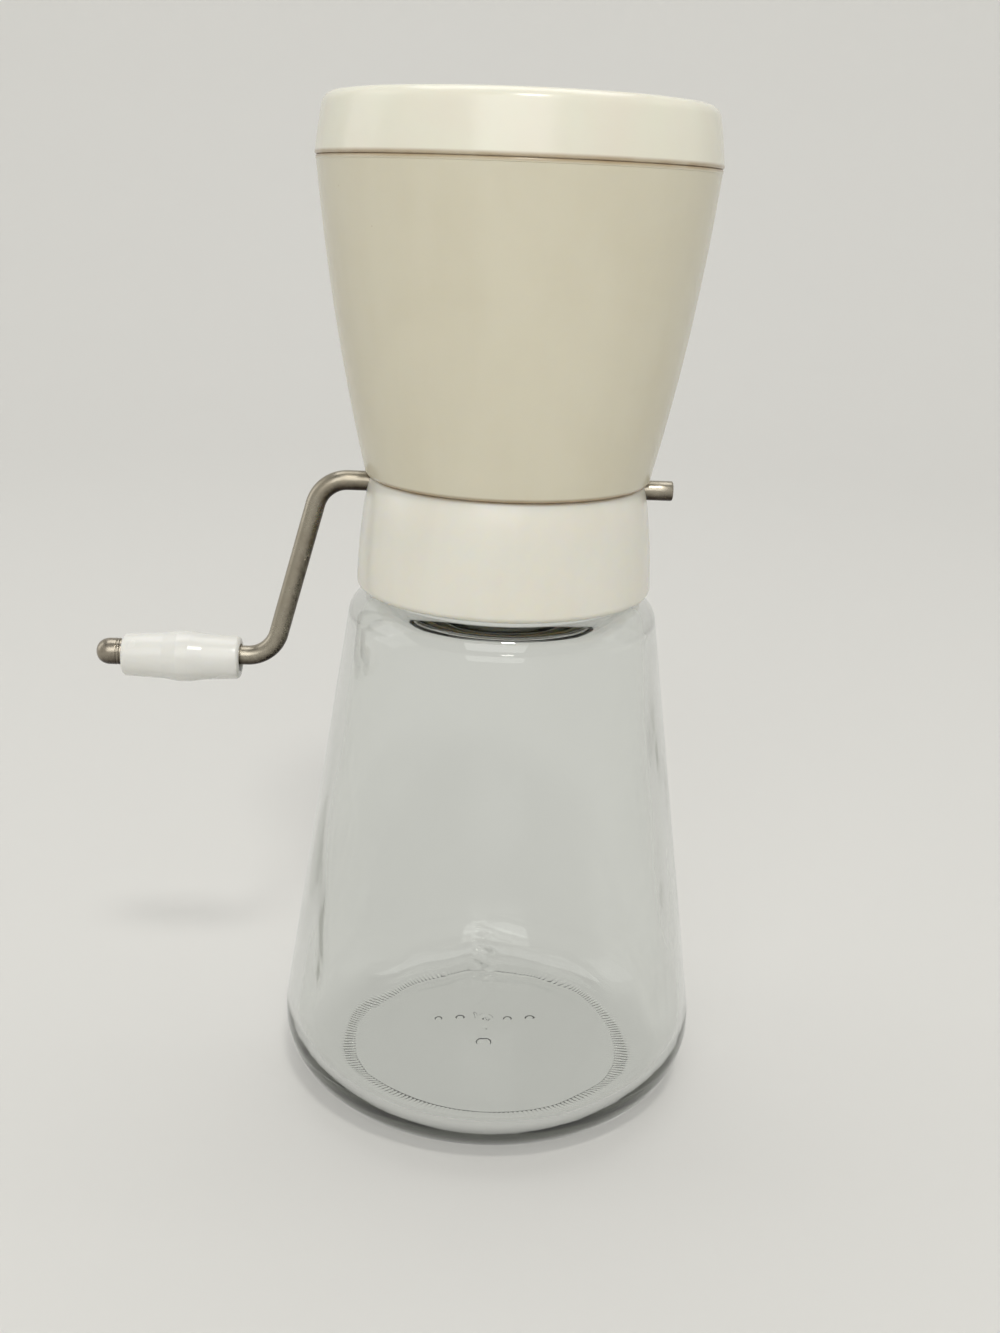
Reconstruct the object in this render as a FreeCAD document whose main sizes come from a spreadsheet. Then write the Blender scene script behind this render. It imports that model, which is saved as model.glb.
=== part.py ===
import FreeCAD, Part
import math
import os
import Sketcher

# Hand-cranked nut grinder on a glass jar, in millimetres.
# The jar's axis is Z and the table is z = 0. The crank shaft lies along X, with its handle at -X.

doc = FreeCAD.newDocument("nut_grinder")
V = FreeCAD.Vector

# Driving dimensions
DIMENSIONS = {
    "glass jar": {
        "jar_neck_radius": 24.9,
        "jar_neck_height": 14.0,
        "jar_finish_wall": 3.0,
        "jar_lip_rounding": 0.9,
        "jar_shoulder_width": 4.6,
        "jar_shoulder_height": 103.2,
        "jar_shoulder_rounding": 4.4,
        "jar_flare": 15.3,
        "jar_heel_rounding": 13.4,
        "jar_ring_inset": 17.3,
        "jar_base_rise": 1.6,
        "jar_wall": 2.7,
        "jar_floor": 4.6,
        "jar_inner_heel_rounding": 9.5,
        "jar_inner_shoulder_rounding": 2.2,
    },
    "screw thread": {
        "thread_pitch": 4.23,
        "thread_turns": 1.0,
        "thread_depth": 1.0,
        "thread_root_width": 2.2,
        "thread_crest_width": 0.9,
        "thread_run_in": 0.6,
        "thread_gap": 0.3,
    },
    "gasket": {
        "gasket_thickness": 0.8,
        "gasket_margin": 0.15,
    },
    "screw collar": {
        "collar_wall": 2.35,
        "collar_waist_step": 1.21,
        "collar_waist_drop": 6.0,
        "collar_top_step": 2.5,
        "collar_rim_wall": 1.85,
        "collar_gap_to_jar": 1.2,
        "collar_edge": 1.4,
        "collar_top_edge": 0.5,
        "collar_side_bow": 118.0,
        "collar_shoulder_bow": 36.0,
        "cup_depth": 6.4,
        "deck_thickness": 1.6,
        "boss_wall": 1.48,
        "boss_end": 0.9,
    },
    "hopper": {
        "spigot_gap": 0.3,
        "spigot_wall": 1.8,
        "spigot_foot_gap": 0.7,
        "hopper_step": 1.25,
        "hopper_edge": 1.3,
        "hopper_flare": 9.1,
        "hopper_height": 57.0,
        "hopper_bow": 396.0,
        "hopper_wall": 2.4,
        "hopper_lip": 0.1,
        "hopper_lip_height": 0.7,
        "hopper_floor_rise": 1.0,
        "hopper_floor": 2.0,
        "hopper_cone_rise": 9.0,
        "hopper_cone_inset": 0.1,
        "neck_ring_wall": 1.2,
    },
    "lid": {
        "lid_height": 11.1,
        "lid_crown": 0.6,
        "lid_overhang": 0.3,
        "lid_draft": 1.2,
        "lid_wall": 1.45,
        "lid_thickness": 2.4,
        "lid_corner": 2.3,
        "lid_edge": 0.35,
        "lid_side_bow": 120.0,
        "lid_gap": 0.3,
        "lid_ring_gap": 2.1,
    },
    "crank": {
        "rod_radius": 1.9,
        "rod_chamfer": 0.3,
        "shaft_drop": 1.8,
        "arm_clearance": 6.85,
        "arm_lean": 9.9,
        "arm_drop": 35.8,
        "bend_radius": 6.5,
        "stub_length": 5.85,
        "running_gap": 0.1,
        "notch_gap": 0.2,
        "press_gap": 0.02,
    },
    "grip": {
        "grip_length": 23.1,
        "grip_slack": 0.6,
        "grip_rest_gap": 0.05,
        "grip_wall": 1.7,
        "grip_edge": 0.8,
        "grip_swell": 0.38,
        "belt_height": 0.44,
        "belt_crest": 2.4,
        "belt_slope": 2.7,
        "belt_offset": 0.5,
        "grip_bend_gap": 1.3,
        "grip_mouth_step": 0.3,
        "grip_mouth_depth": 0.5,
        "grip_end_gap": 0.1,
    },
    "cap nut": {
        "washer_wall": 0.6,
        "washer_thickness": 0.5,
        "nut_wall": 0.7,
        "nut_ring": 0.45,
        "nut_groove": 0.15,
        "nut_barrel": 1.6,
        "nut_length": 4.8,
        "nut_crown": 1.1,
    },
    "rotor": {
        "blade_count": 6,
        "blade_pitch": 5.0,
        "blade_thickness": 1.0,
        "blade_hub_wall": 1.48,
        "blade_tip_radius": 8.5,
        "blade_root_width": 3.4,
        "blade_tip_width": 2.0,
        "spacer_wall": 1.08,
        "ring_wall": 1.68,
        "ring_thickness": 0.8,
        "ring_end_gap": 1.1,
    },
    "combs": {
        "comb_thickness": 0.9,
        "comb_deck_gap": 1.0,
        "comb_overhang": 1.6,
        "tooth_tip_gap": 1.7,
        "coarse_side_gap": 1.2,
        "fine_side_gap": 0.5,
        "window_blade_gap": 0.85,
        "window_end_gap": 2.5,
        "throat_gap": 1.0,
        "screw_spacing": 22.0,
        "screw_set_back": 3.8,
        "screw_head_radius": 2.2,
        "screw_head_height": 1.4,
        "screw_shank_radius": 1.1,
        "screw_length": 4.4,
        "screw_slot_width": 0.6,
        "screw_slot_depth": 0.6,
    },
}

BLADE_TINES = 4
BLADE_STAGGER = 15.0
SAME_PLACE = 0.001

sheet = doc.addObject("Spreadsheet::Sheet", "sizes")
row = 0
for group, entries in DIMENSIONS.items():
    row += 1
    sheet.set(f"A{row}", group)
    for alias, number in entries.items():
        row += 1
        sheet.set(f"A{row}", alias.replace("_", " "))
        sheet.set(f"B{row}", str(number))
        sheet.setAlias(f"B{row}", alias)
doc.recompute()


class Size:
    """A length that keeps its value and the sheet expression that gives it."""

    def __init__(self, value, text):
        self.value = float(value)
        self.text = text

    def combine(self, other, sign, result):
        other = size_of(other)
        return Size(result(self.value, other.value), f"({self.text} {sign} {other.text})")

    def __add__(self, other):
        return self.combine(other, "+", lambda one, two: one + two)

    def __sub__(self, other):
        return self.combine(other, "-", lambda one, two: one - two)

    def __mul__(self, other):
        return self.combine(other, "*", lambda one, two: one * two)

    def __truediv__(self, other):
        return self.combine(other, "/", lambda one, two: one / two)

    def __radd__(self, other):
        return size_of(other) + self

    def __rsub__(self, other):
        return size_of(other) - self

    def __rmul__(self, other):
        return size_of(other) * self

    def __neg__(self):
        return 0 - self


def size_of(number):
    if isinstance(number, Size):
        return number
    return Size(number, repr(number))


def root(square):
    return Size(math.sqrt(square.value), f"sqrt({square.text})")


def bow_of(chord, rise):
    """Radius of the arc over half a chord with this rise."""
    return (chord * chord + rise * rise) / (2 * rise)


class SheetSizes:
    """Each alias of the sheet as a Size."""

    def __getattr__(self, alias):
        return Size(getattr(sheet, alias), f"sizes.{alias}")


s = SheetSizes()


# Sizes and places that follow from the driving dimensions

# Radii, from the jar's neck outwards
jar_bore_radius = s.jar_neck_radius - s.jar_finish_wall
jar_top_radius = s.jar_neck_radius + s.jar_shoulder_width
jar_foot_radius = jar_top_radius + s.jar_flare
thread_crest_radius = s.jar_neck_radius + s.thread_depth
collar_bore_radius = thread_crest_radius + s.thread_gap
collar_foot_radius = collar_bore_radius + s.collar_wall
collar_waist_radius = collar_foot_radius - s.collar_waist_step
collar_top_radius = collar_foot_radius - s.collar_top_step
spigot_bore_radius = collar_top_radius - s.collar_rim_wall
spigot_radius = spigot_bore_radius - s.spigot_gap
spigot_inner_radius = spigot_radius - s.spigot_wall
hopper_foot_radius = collar_top_radius + s.hopper_step
hopper_rim_radius = hopper_foot_radius + s.hopper_flare
lid_foot_radius = hopper_rim_radius + s.lid_overhang
lid_inside_radius = lid_foot_radius - s.lid_wall

# Heights, from the table up
jar_rim_z = s.jar_shoulder_height + s.jar_neck_height
deck_bottom_z = jar_rim_z + s.gasket_thickness
deck_top_z = deck_bottom_z + s.deck_thickness
collar_bottom_z = s.jar_shoulder_height + s.collar_gap_to_jar
collar_ridge_z = collar_bottom_z + s.thread_run_in + s.thread_root_width / 2
spigot_bottom_z = deck_top_z + s.comb_thickness + s.spigot_foot_gap
seam_z = deck_top_z + s.cup_depth
shaft_z = seam_z - s.shaft_drop
rim_z = seam_z + s.hopper_height
lid_inside_height = s.lid_height - s.lid_thickness
neck_ring_height = lid_inside_height - s.lid_ring_gap
lid_slope = s.lid_draft / lid_inside_height

# The rotor on the shaft, and the room that it turns in
blade_count = Size(round(sheet.blade_count), "round(sizes.blade_count)")
notch_radius = s.rod_radius + s.running_gap
bore_radius = s.rod_radius + s.press_gap
pilot_radius = s.screw_shank_radius + s.press_gap
stack_half = s.blade_pitch * (blade_count - 1) / 2 + s.blade_thickness / 2
ring_outer_x = spigot_inner_radius - s.ring_end_gap
ring_inner_x = ring_outer_x - s.ring_thickness
window_half_length = stack_half + s.window_end_gap
deck_drop = shaft_z - deck_top_z
blade_half_chord = root(s.blade_tip_radius * s.blade_tip_radius - deck_drop * deck_drop)
window_half_width = blade_half_chord + s.window_blade_gap
throat_half_width = s.blade_tip_radius + s.throat_gap
screw_y = window_half_width + s.screw_set_back

# The crank, from the right end of the rod to the nut
rod_right_x = collar_top_radius + s.stub_length
arm_reach = collar_foot_radius + s.arm_clearance
arm_length = root(s.arm_lean * s.arm_lean + s.arm_drop * s.arm_drop)
bend_tangent = s.bend_radius * (arm_length - s.arm_lean) / s.arm_drop
grip_right_x = -(arm_reach + s.arm_lean + bend_tangent + s.grip_bend_gap)
grip_left_x = grip_right_x - s.grip_length
washer_x = grip_left_x - s.grip_end_gap
nut_x = washer_x - s.washer_thickness
nut_radius = bore_radius + s.nut_wall
rod_left_x = nut_x - s.nut_length + s.nut_crown
handle_z = shaft_z - s.arm_drop
grip_z = handle_z - s.grip_slack + s.grip_rest_gap


# Building helpers

def bind(target, path, size):
    """Tie a property, or a constraint, to the sheet."""
    size = size_of(size)
    target.setExpression(path, size.text)


def place(target, across=None, depth=None, height=None):
    for axis, size in (("x", across), ("y", depth), ("z", height)):
        if size is not None:
            bind(target, f"Placement.Base.{axis}", size)


def new_body(label):
    body = doc.addObject("PartDesign::Body", label)
    body.Label = label
    return body


def sketch_on(body, role, name, height=None):
    """A sketch on one of the body's own origin planes, raised along the plane's normal."""
    sketch = body.newObject("Sketcher::SketchObject", f"{body.Label}_{name}")
    plane = next(item for item in body.Origin.OriginFeatures if item.Role == role)
    sketch.AttachmentSupport = (plane, [""])
    sketch.MapMode = "FlatFace"
    if height is not None:
        bind(sketch, "AttachmentOffset.Base.z", height)
    return sketch


def pin_point(sketch, shape, end, point):
    """Hold one point of the sketch at its sheet position."""
    for kind, axis, size in (("DistanceX", -2, point[0]), ("DistanceY", -1, point[1])):
        size = size_of(size)
        if size.value == 0:
            sketch.addConstraint(Sketcher.Constraint("PointOnObject", shape, end, axis))
            continue
        held = sketch.addConstraint(Sketcher.Constraint(kind, -1, 1, shape, end, size.value))
        bind(sketch, f"Constraints[{held}]", size)


def hold_radius(sketch, shape, radius):
    held = sketch.addConstraint(Sketcher.Constraint("Radius", shape, radius.value))
    bind(sketch, f"Constraints[{held}]", radius)


class Corner:
    """A corner of an outline: rounded, or the start of an arc to the next corner.

    The arc bows out to the right of the way on, by its bow, or to the left, by its dip.
    """

    def __init__(self, across, up, rounding=None, bow=None, dip=None):
        self.at = (size_of(across), size_of(up))
        self.rounding = rounding
        self.arc = bow or dip
        self.side = 1 if bow else -1

    def spot(self):
        return V(self.at[0].value, self.at[1].value, 0)


def turn_side(before, at, after):
    return math.copysign(1, (at - before).cross(after - at).z)


def tangent_arc(before, at, after, radius):
    """The arc that rounds a corner, and its two tangent points."""
    into = (at - before).normalize()
    out = (after - at).normalize()
    half_turn = into.getAngle(out) / 2
    reach = radius * math.tan(half_turn)
    start = at - into * reach
    end = at + out * reach
    side = turn_side(before, at, after)
    middle = start + V(-into.y, into.x, 0) * (side * radius)
    return start, end, middle, side


def add_arc(sketch, start, end, middle, side):
    """Add an arc; side is 1 where it runs counterclockwise. Give its index and end numbers."""
    first, last = (start, end) if side > 0 else (end, start)
    angles = [math.atan2(point.y - middle.y, point.x - middle.x) for point in (first, last)]
    circle = Part.Circle(middle, V(0, 0, 1), (start - middle).Length)
    index = sketch.addGeometry(Part.ArcOfCircle(circle, angles[0], angles[1]), False)
    return (index, 1, 2) if side > 0 else (index, 2, 1)


def arc_middle(start, end, radius, side):
    """Centre of the arc from start to end that bows out to the right, or to the left for side -1."""
    chord = end - start
    leg = math.sqrt(radius * radius - chord.Length * chord.Length / 4)
    left = V(-chord.y, chord.x, 0).normalize()
    return (start + end) * 0.5 + left * (leg * side)


def join(sketch, kind, stretch, following):
    """Hold the end of one stretch to the start of the next."""
    sketch.addConstraint(Sketcher.Constraint(kind, stretch[0], stretch[2], following[0], following[1]))


def draw_outline(sketch, corners, closed=True):
    """Draw lines, arcs and rounded corners in order, each held by the sheet's sizes."""
    count = len(corners)
    spots = [corner.spot() for corner in corners]
    rounds = {}
    for number, corner in enumerate(corners):
        if corner.rounding is not None:
            before, after = spots[number - 1], spots[(number + 1) % count]
            rounds[number] = tangent_arc(before, spots[number], after, corner.rounding.value)
    stretches = []
    for number in range(count if closed else count - 1):
        following = (number + 1) % count
        start = rounds[number][1] if number in rounds else spots[number]
        end = rounds[following][0] if following in rounds else spots[following]
        corner = corners[number]
        if corner.arc is None:
            index = sketch.addGeometry(Part.LineSegment(start, end), False)
            stretches.append((index, 1, 2))
        else:
            middle = arc_middle(start, end, corner.arc.value, corner.side)
            stretches.append(add_arc(sketch, start, end, middle, corner.side))
            hold_radius(sketch, stretches[-1][0], corner.arc)
    for number, corner in enumerate(corners):
        incoming = stretches[number - 1] if closed or number else None
        outgoing = stretches[number] if number < len(stretches) else None
        if number in rounds:
            start, end, middle, side = rounds[number]
            arc = add_arc(sketch, start, end, middle, side)
            join(sketch, "Tangent", incoming, arc)
            join(sketch, "Tangent", arc, outgoing)
            hold_radius(sketch, arc[0], corner.rounding)
            point = sketch.addGeometry(Part.Point(spots[number]), True)
            sketch.addConstraint(Sketcher.Constraint("PointOnObject", point, 1, incoming[0]))
            sketch.addConstraint(Sketcher.Constraint("PointOnObject", point, 1, outgoing[0]))
            pin_point(sketch, point, 1, corner.at)
            continue
        if incoming and outgoing:
            join(sketch, "Coincident", incoming, outgoing)
        shape, end = (outgoing[0], outgoing[1]) if outgoing else (incoming[0], incoming[2])
        pin_point(sketch, shape, end, corner.at)
    return stretches


def draw_rectangle(sketch, left, bottom, right, top):
    draw_outline(sketch, [Corner(left, bottom), Corner(right, bottom), Corner(right, top), Corner(left, top)])


def draw_circle(sketch, across, up, radius):
    radius = size_of(radius)
    middle = (size_of(across), size_of(up))
    spot = V(middle[0].value, middle[1].value, 0)
    index = sketch.addGeometry(Part.Circle(spot, V(0, 0, 1), radius.value), False)
    hold_radius(sketch, index, radius)
    pin_point(sketch, index, 3, middle)


def revolve(body, corners, axis="V_Axis"):
    """Turn an outline in the body's XZ plane a full turn about the sketch's axis."""
    sketch = sketch_on(body, "XZ_Plane", "section")
    draw_outline(sketch, corners)
    turned = body.newObject("PartDesign::Revolution", f"{body.Label}_revolution")
    turned.Profile = sketch
    turned.ReferenceAxis = (sketch, [axis])
    turned.Angle = 360
    return turned


def pad(body, sketch, length, centred=False, down=False):
    grown = body.newObject("PartDesign::Pad", f"{sketch.Label}_pad")
    grown.Profile = sketch
    grown.SideType = "Symmetric" if centred else "One side"
    grown.Reversed = down
    bind(grown, "Length", length)
    return grown


def pocket(body, sketch, length, centred=False, up=False):
    """Cut the sketch out of the body, and make sure that it removed something."""
    doc.recompute()
    before = body.Shape.Volume
    cut = body.newObject("PartDesign::Pocket", f"{sketch.Label}_pocket")
    cut.Profile = sketch
    cut.SideType = "Symmetric" if centred else "One side"
    cut.Reversed = up
    bind(cut, "Length", length)
    doc.recompute()
    if not body.Shape.Volume < before:
        raise RuntimeError(f"{cut.Label} removes nothing")
    return cut


def screw_ridge(body, root_radius, crest_radius, middle_z):
    """A thread ridge of trapezoid section, on the outside or the inside of a wall.

    Its foot is sunk in the wall by the thread's gap, so that the two are one solid.
    """
    bury = s.thread_gap if crest_radius.value < root_radius.value else -s.thread_gap
    wide, narrow = s.thread_root_width / 2, s.thread_crest_width / 2
    sketch = sketch_on(body, "XZ_Plane", "ridge_section")
    draw_outline(sketch, [
        Corner(root_radius + bury, middle_z - wide),
        Corner(root_radius, middle_z - wide),
        Corner(crest_radius, middle_z - narrow),
        Corner(crest_radius, middle_z + narrow),
        Corner(root_radius, middle_z + wide),
        Corner(root_radius + bury, middle_z + wide),
    ])
    ridge = body.newObject("PartDesign::AdditiveHelix", f"{body.Label}_thread")
    ridge.Profile = sketch
    ridge.ReferenceAxis = (sketch, ["V_Axis"])
    ridge.Mode = "pitch-turns-angle"
    bind(ridge, "Pitch", s.thread_pitch)
    bind(ridge, "Turns", s.thread_turns)
    ridge.LeftHanded = False
    return ridge


def cylinder(name, radius, height, across=None, depth=None, bottom=None, along_x=False):
    shape = doc.addObject("Part::Cylinder", name)
    if along_x:
        shape.Placement.Rotation = FreeCAD.Rotation(V(0, 1, 0), 90)
    bind(shape, "Radius", radius)
    bind(shape, "Height", height)
    place(shape, across, depth, bottom)
    return shape


def cut_from(label, base, tool):
    cut = doc.addObject("Part::Cut", label)
    cut.Base = base
    cut.Tool = tool
    cut.Label = label
    return cut


def tube_on_shaft(label, radius, left_x, length, centre_z):
    """A tube round the rod, from left_x to the right."""
    outer = cylinder(f"{label}_outside", radius, length, across=left_x, bottom=centre_z, along_x=True)
    inner = cylinder(f"{label}_bore", bore_radius, length, across=left_x, bottom=centre_z, along_x=True)
    return cut_from(label, outer, inner)


# Glass jar and its gasket

def make_glass_jar():
    lean = s.jar_flare / s.jar_shoulder_height
    inner_top_z = s.jar_shoulder_height - s.jar_wall
    inner_foot_radius = jar_foot_radius - lean * s.jar_floor - s.jar_wall
    inner_top_radius = jar_foot_radius - lean * inner_top_z - s.jar_wall
    ring_radius = jar_foot_radius - s.jar_ring_inset
    base_bow = bow_of(ring_radius, s.jar_base_rise)
    body = new_body("glass_jar")
    revolve(body, [
        Corner(ring_radius, 0),
        Corner(jar_foot_radius, 0, rounding=s.jar_heel_rounding),
        Corner(jar_top_radius, s.jar_shoulder_height, rounding=s.jar_shoulder_rounding),
        Corner(s.jar_neck_radius, s.jar_shoulder_height),
        Corner(s.jar_neck_radius, jar_rim_z, rounding=s.jar_lip_rounding),
        Corner(jar_bore_radius, jar_rim_z, rounding=s.jar_lip_rounding),
        Corner(jar_bore_radius, inner_top_z, rounding=s.jar_lip_rounding),
        Corner(inner_top_radius, inner_top_z, rounding=s.jar_inner_shoulder_rounding),
        Corner(inner_foot_radius, s.jar_floor, rounding=s.jar_inner_heel_rounding),
        Corner(ring_radius, s.jar_floor, bow=base_bow),
        Corner(0, s.jar_floor + s.jar_base_rise),
        Corner(0, s.jar_base_rise, dip=base_bow),
    ])
    screw_ridge(body, s.jar_neck_radius, thread_crest_radius, collar_ridge_z + s.thread_pitch / 2)
    return body


def make_jar_gasket():
    inner = jar_bore_radius + s.gasket_margin
    outer = s.jar_neck_radius - s.gasket_margin
    return cut_from(
        "jar_gasket",
        cylinder("jar_gasket_outside", outer, s.gasket_thickness, bottom=jar_rim_z),
        cylinder("jar_gasket_hole", inner, s.gasket_thickness, bottom=jar_rim_z),
    )


# Screw collar

def make_screw_collar():
    waist_z = seam_z - s.collar_waist_drop
    boss_height = s.screw_length - s.comb_thickness - s.deck_thickness + s.boss_end
    body = new_body("screw_collar")
    revolve(body, [
        Corner(collar_bore_radius, collar_bottom_z),
        Corner(collar_foot_radius - s.collar_edge, collar_bottom_z, bow=s.collar_edge),
        Corner(collar_foot_radius, collar_bottom_z + s.collar_edge, bow=s.collar_side_bow),
        Corner(collar_waist_radius, waist_z, bow=s.collar_shoulder_bow),
        Corner(collar_top_radius, seam_z - s.collar_top_edge, bow=s.collar_top_edge),
        Corner(collar_top_radius - s.collar_top_edge, seam_z),
        Corner(spigot_bore_radius, seam_z),
        Corner(spigot_bore_radius, deck_top_z),
        Corner(0, deck_top_z),
        Corner(0, deck_bottom_z),
        Corner(collar_bore_radius, deck_bottom_z),
    ])
    bosses = sketch_on(body, "XY_Plane", "bosses", deck_bottom_z)
    pilots = sketch_on(body, "XY_Plane", "pilots", deck_top_z)
    for across in (-s.screw_spacing / 2, s.screw_spacing / 2):
        for depth in (-screw_y, screw_y):
            draw_circle(bosses, across, depth, pilot_radius + s.boss_wall)
            draw_circle(pilots, across, depth, pilot_radius)
    pad(body, bosses, boss_height, down=True)
    pocket(body, pilots, s.deck_thickness + boss_height)
    window = sketch_on(body, "XY_Plane", "window", deck_top_z)
    draw_rectangle(window, -window_half_length, -window_half_width, window_half_length, window_half_width)
    pocket(body, window, s.deck_thickness)
    notch = sketch_on(body, "YZ_Plane", "rod_notch")
    draw_outline(notch, [
        Corner(-notch_radius, seam_z + s.shaft_drop),
        Corner(-notch_radius, shaft_z, bow=notch_radius),
        Corner(0, shaft_z - notch_radius, bow=notch_radius),
        Corner(notch_radius, shaft_z),
        Corner(notch_radius, seam_z + s.shaft_drop),
    ])
    pocket(body, notch, 2 * rod_right_x, centred=True)
    screw_ridge(body, collar_bore_radius, collar_bore_radius - s.thread_depth, collar_ridge_z)
    return body


# Hopper and lid

def make_hopper():
    foot_z = seam_z + s.hopper_edge
    floor_under_z = seam_z + s.hopper_floor_rise
    floor_z = floor_under_z + s.hopper_floor
    cone_radius = hopper_foot_radius - s.hopper_cone_inset
    cone_foot_radius = throat_half_width + s.hopper_wall
    cone_slope = s.hopper_cone_rise / (cone_radius - cone_foot_radius)
    cone_under_z = floor_under_z + cone_slope * (spigot_inner_radius - cone_foot_radius)
    ring_radius = lid_inside_radius - s.lid_gap
    ring_top_radius = ring_radius - lid_slope * neck_ring_height
    ring_inner_radius = ring_top_radius - s.neck_ring_wall
    lip_radius = hopper_rim_radius + s.hopper_lip
    body = new_body("hopper")
    revolve(body, [
        Corner(0, floor_under_z),
        Corner(cone_foot_radius, floor_under_z),
        Corner(spigot_inner_radius, cone_under_z),
        Corner(spigot_inner_radius, spigot_bottom_z),
        Corner(spigot_radius, spigot_bottom_z),
        Corner(spigot_radius, seam_z),
        Corner(hopper_foot_radius - s.hopper_edge, seam_z, bow=s.hopper_edge),
        Corner(hopper_foot_radius, foot_z, bow=s.hopper_bow),
        Corner(hopper_rim_radius, rim_z - s.hopper_lip_height - s.hopper_lip),
        Corner(lip_radius, rim_z - s.hopper_lip_height),
        Corner(lip_radius, rim_z),
        Corner(ring_radius, rim_z),
        Corner(ring_top_radius, rim_z + neck_ring_height),
        Corner(ring_inner_radius, rim_z + neck_ring_height),
        Corner(ring_inner_radius, rim_z, dip=s.hopper_bow - s.hopper_wall),
        Corner(cone_radius, floor_z + s.hopper_cone_rise),
        Corner(cone_foot_radius, floor_z),
        Corner(0, floor_z),
    ])
    window = sketch_on(body, "XY_Plane", "throat", floor_under_z)
    draw_rectangle(window, -window_half_length, -throat_half_width, window_half_length, throat_half_width)
    pocket(body, window, s.hopper_cone_rise + s.hopper_floor, up=True)
    notch_half = s.rod_radius + s.notch_gap
    notch_bottom_z = spigot_bottom_z - s.notch_gap
    notch = sketch_on(body, "YZ_Plane", "rod_notch")
    draw_outline(notch, [
        Corner(notch_half, notch_bottom_z),
        Corner(notch_half, shaft_z, bow=notch_half),
        Corner(0, shaft_z + notch_half, bow=notch_half),
        Corner(-notch_half, shaft_z),
        Corner(-notch_half, notch_bottom_z),
    ])
    pocket(body, notch, 2 * rod_right_x, centred=True)
    return body


def make_lid():
    top_z = rim_z + s.lid_height
    side_top_z = top_z - s.lid_crown - s.lid_corner
    ceiling_z = rim_z + lid_inside_height
    top_radius = lid_foot_radius - s.lid_draft
    flat_radius = top_radius - s.lid_corner
    body = new_body("lid")
    revolve(body, [
        Corner(0, ceiling_z),
        Corner(lid_inside_radius - s.lid_draft, ceiling_z),
        Corner(lid_inside_radius, rim_z),
        Corner(lid_foot_radius - s.lid_edge, rim_z, bow=s.lid_edge),
        Corner(lid_foot_radius, rim_z + s.lid_edge, bow=s.lid_side_bow),
        Corner(top_radius, side_top_z, bow=s.lid_corner),
        Corner(flat_radius, side_top_z + s.lid_corner, bow=bow_of(flat_radius, s.lid_crown)),
        Corner(0, top_z),
    ])
    return body


# Crank rod, grip and cap nut

def at_rod_end(edge):
    across = edge.CenterOfMass.x
    return any(math.isclose(across, end.value, abs_tol=SAME_PLACE) for end in (rod_left_x, rod_right_x))


def make_crank_rod():
    body = new_body("crank_rod")
    place(body, height=shaft_z)
    path = sketch_on(body, "XZ_Plane", "path")
    draw_outline(path, [
        Corner(rod_right_x, 0),
        Corner(-arm_reach, 0, rounding=s.bend_radius),
        Corner(-(arm_reach + s.arm_lean), -s.arm_drop, rounding=s.bend_radius),
        Corner(rod_left_x, -s.arm_drop),
    ], closed=False)
    section = sketch_on(body, "YZ_Plane", "section", rod_right_x)
    draw_circle(section, 0, 0, s.rod_radius)
    pipe = body.newObject("PartDesign::AdditivePipe", "crank_rod_pipe")
    pipe.Profile = section
    pipe.Spine = path
    doc.recompute()
    ends = [
        f"Edge{number}"
        for number, edge in enumerate(pipe.Shape.Edges, 1)
        if at_rod_end(edge)
    ]
    chamfer = body.newObject("PartDesign::Chamfer", "crank_rod_ends")
    chamfer.Base = (pipe, ends)
    bind(chamfer, "Size", s.rod_chamfer)
    return body


def make_crank_grip():
    """The grip's outline along X, from its left end. It hangs on the rod by its bore."""
    bore = s.rod_radius + s.grip_slack
    mouth_radius = bore + s.grip_mouth_step
    radius = bore + s.grip_wall
    swell_radius = radius + s.grip_swell
    belt_radius = swell_radius + s.belt_height
    belt_middle = s.grip_length / 2 + s.belt_offset
    crest_left = belt_middle - s.belt_crest / 2
    crest_right = belt_middle + s.belt_crest / 2
    mouth_x = s.grip_length - s.grip_mouth_depth
    body = new_body("crank_grip")
    place(body, across=grip_left_x, height=grip_z)
    revolve(body, [
        Corner(0, bore),
        Corner(mouth_x, bore),
        Corner(mouth_x, mouth_radius),
        Corner(s.grip_length, mouth_radius),
        Corner(s.grip_length, radius, rounding=s.grip_edge),
        Corner(crest_right + s.belt_slope, swell_radius),
        Corner(crest_right, belt_radius),
        Corner(crest_left, belt_radius),
        Corner(crest_left - s.belt_slope, swell_radius),
        Corner(0, radius, rounding=s.grip_edge),
    ], axis="H_Axis")
    return body


def make_cap_nut():
    """The domed nut's outline along X, from its open end to its crown at -X."""
    barrel_x = -(s.nut_ring + s.nut_groove + s.nut_barrel)
    dome = s.nut_length + barrel_x
    body = new_body("cap_nut")
    place(body, across=nut_x, height=handle_z)
    revolve(body, [
        Corner(0, bore_radius),
        Corner(0, nut_radius),
        Corner(-s.nut_ring, nut_radius),
        Corner(-s.nut_ring, nut_radius - s.nut_groove),
        Corner(-(s.nut_ring + s.nut_groove), nut_radius - s.nut_groove),
        Corner(-(s.nut_ring + s.nut_groove), nut_radius),
        Corner(barrel_x, nut_radius, bow=bow_of(nut_radius, dome)),
        Corner(-s.nut_length, 0),
        Corner(-(s.nut_length - s.nut_crown), 0),
        Corner(-(s.nut_length - s.nut_crown), bore_radius),
    ], axis="H_Axis")
    return body


def make_grip_washer():
    radius = bore_radius + s.washer_wall
    return tube_on_shaft("grip_washer", radius, nut_x, s.washer_thickness, handle_z)


# Rotor on the shaft

def blade_x(number):
    return (number - (blade_count - 1) / 2) * s.blade_pitch


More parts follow.
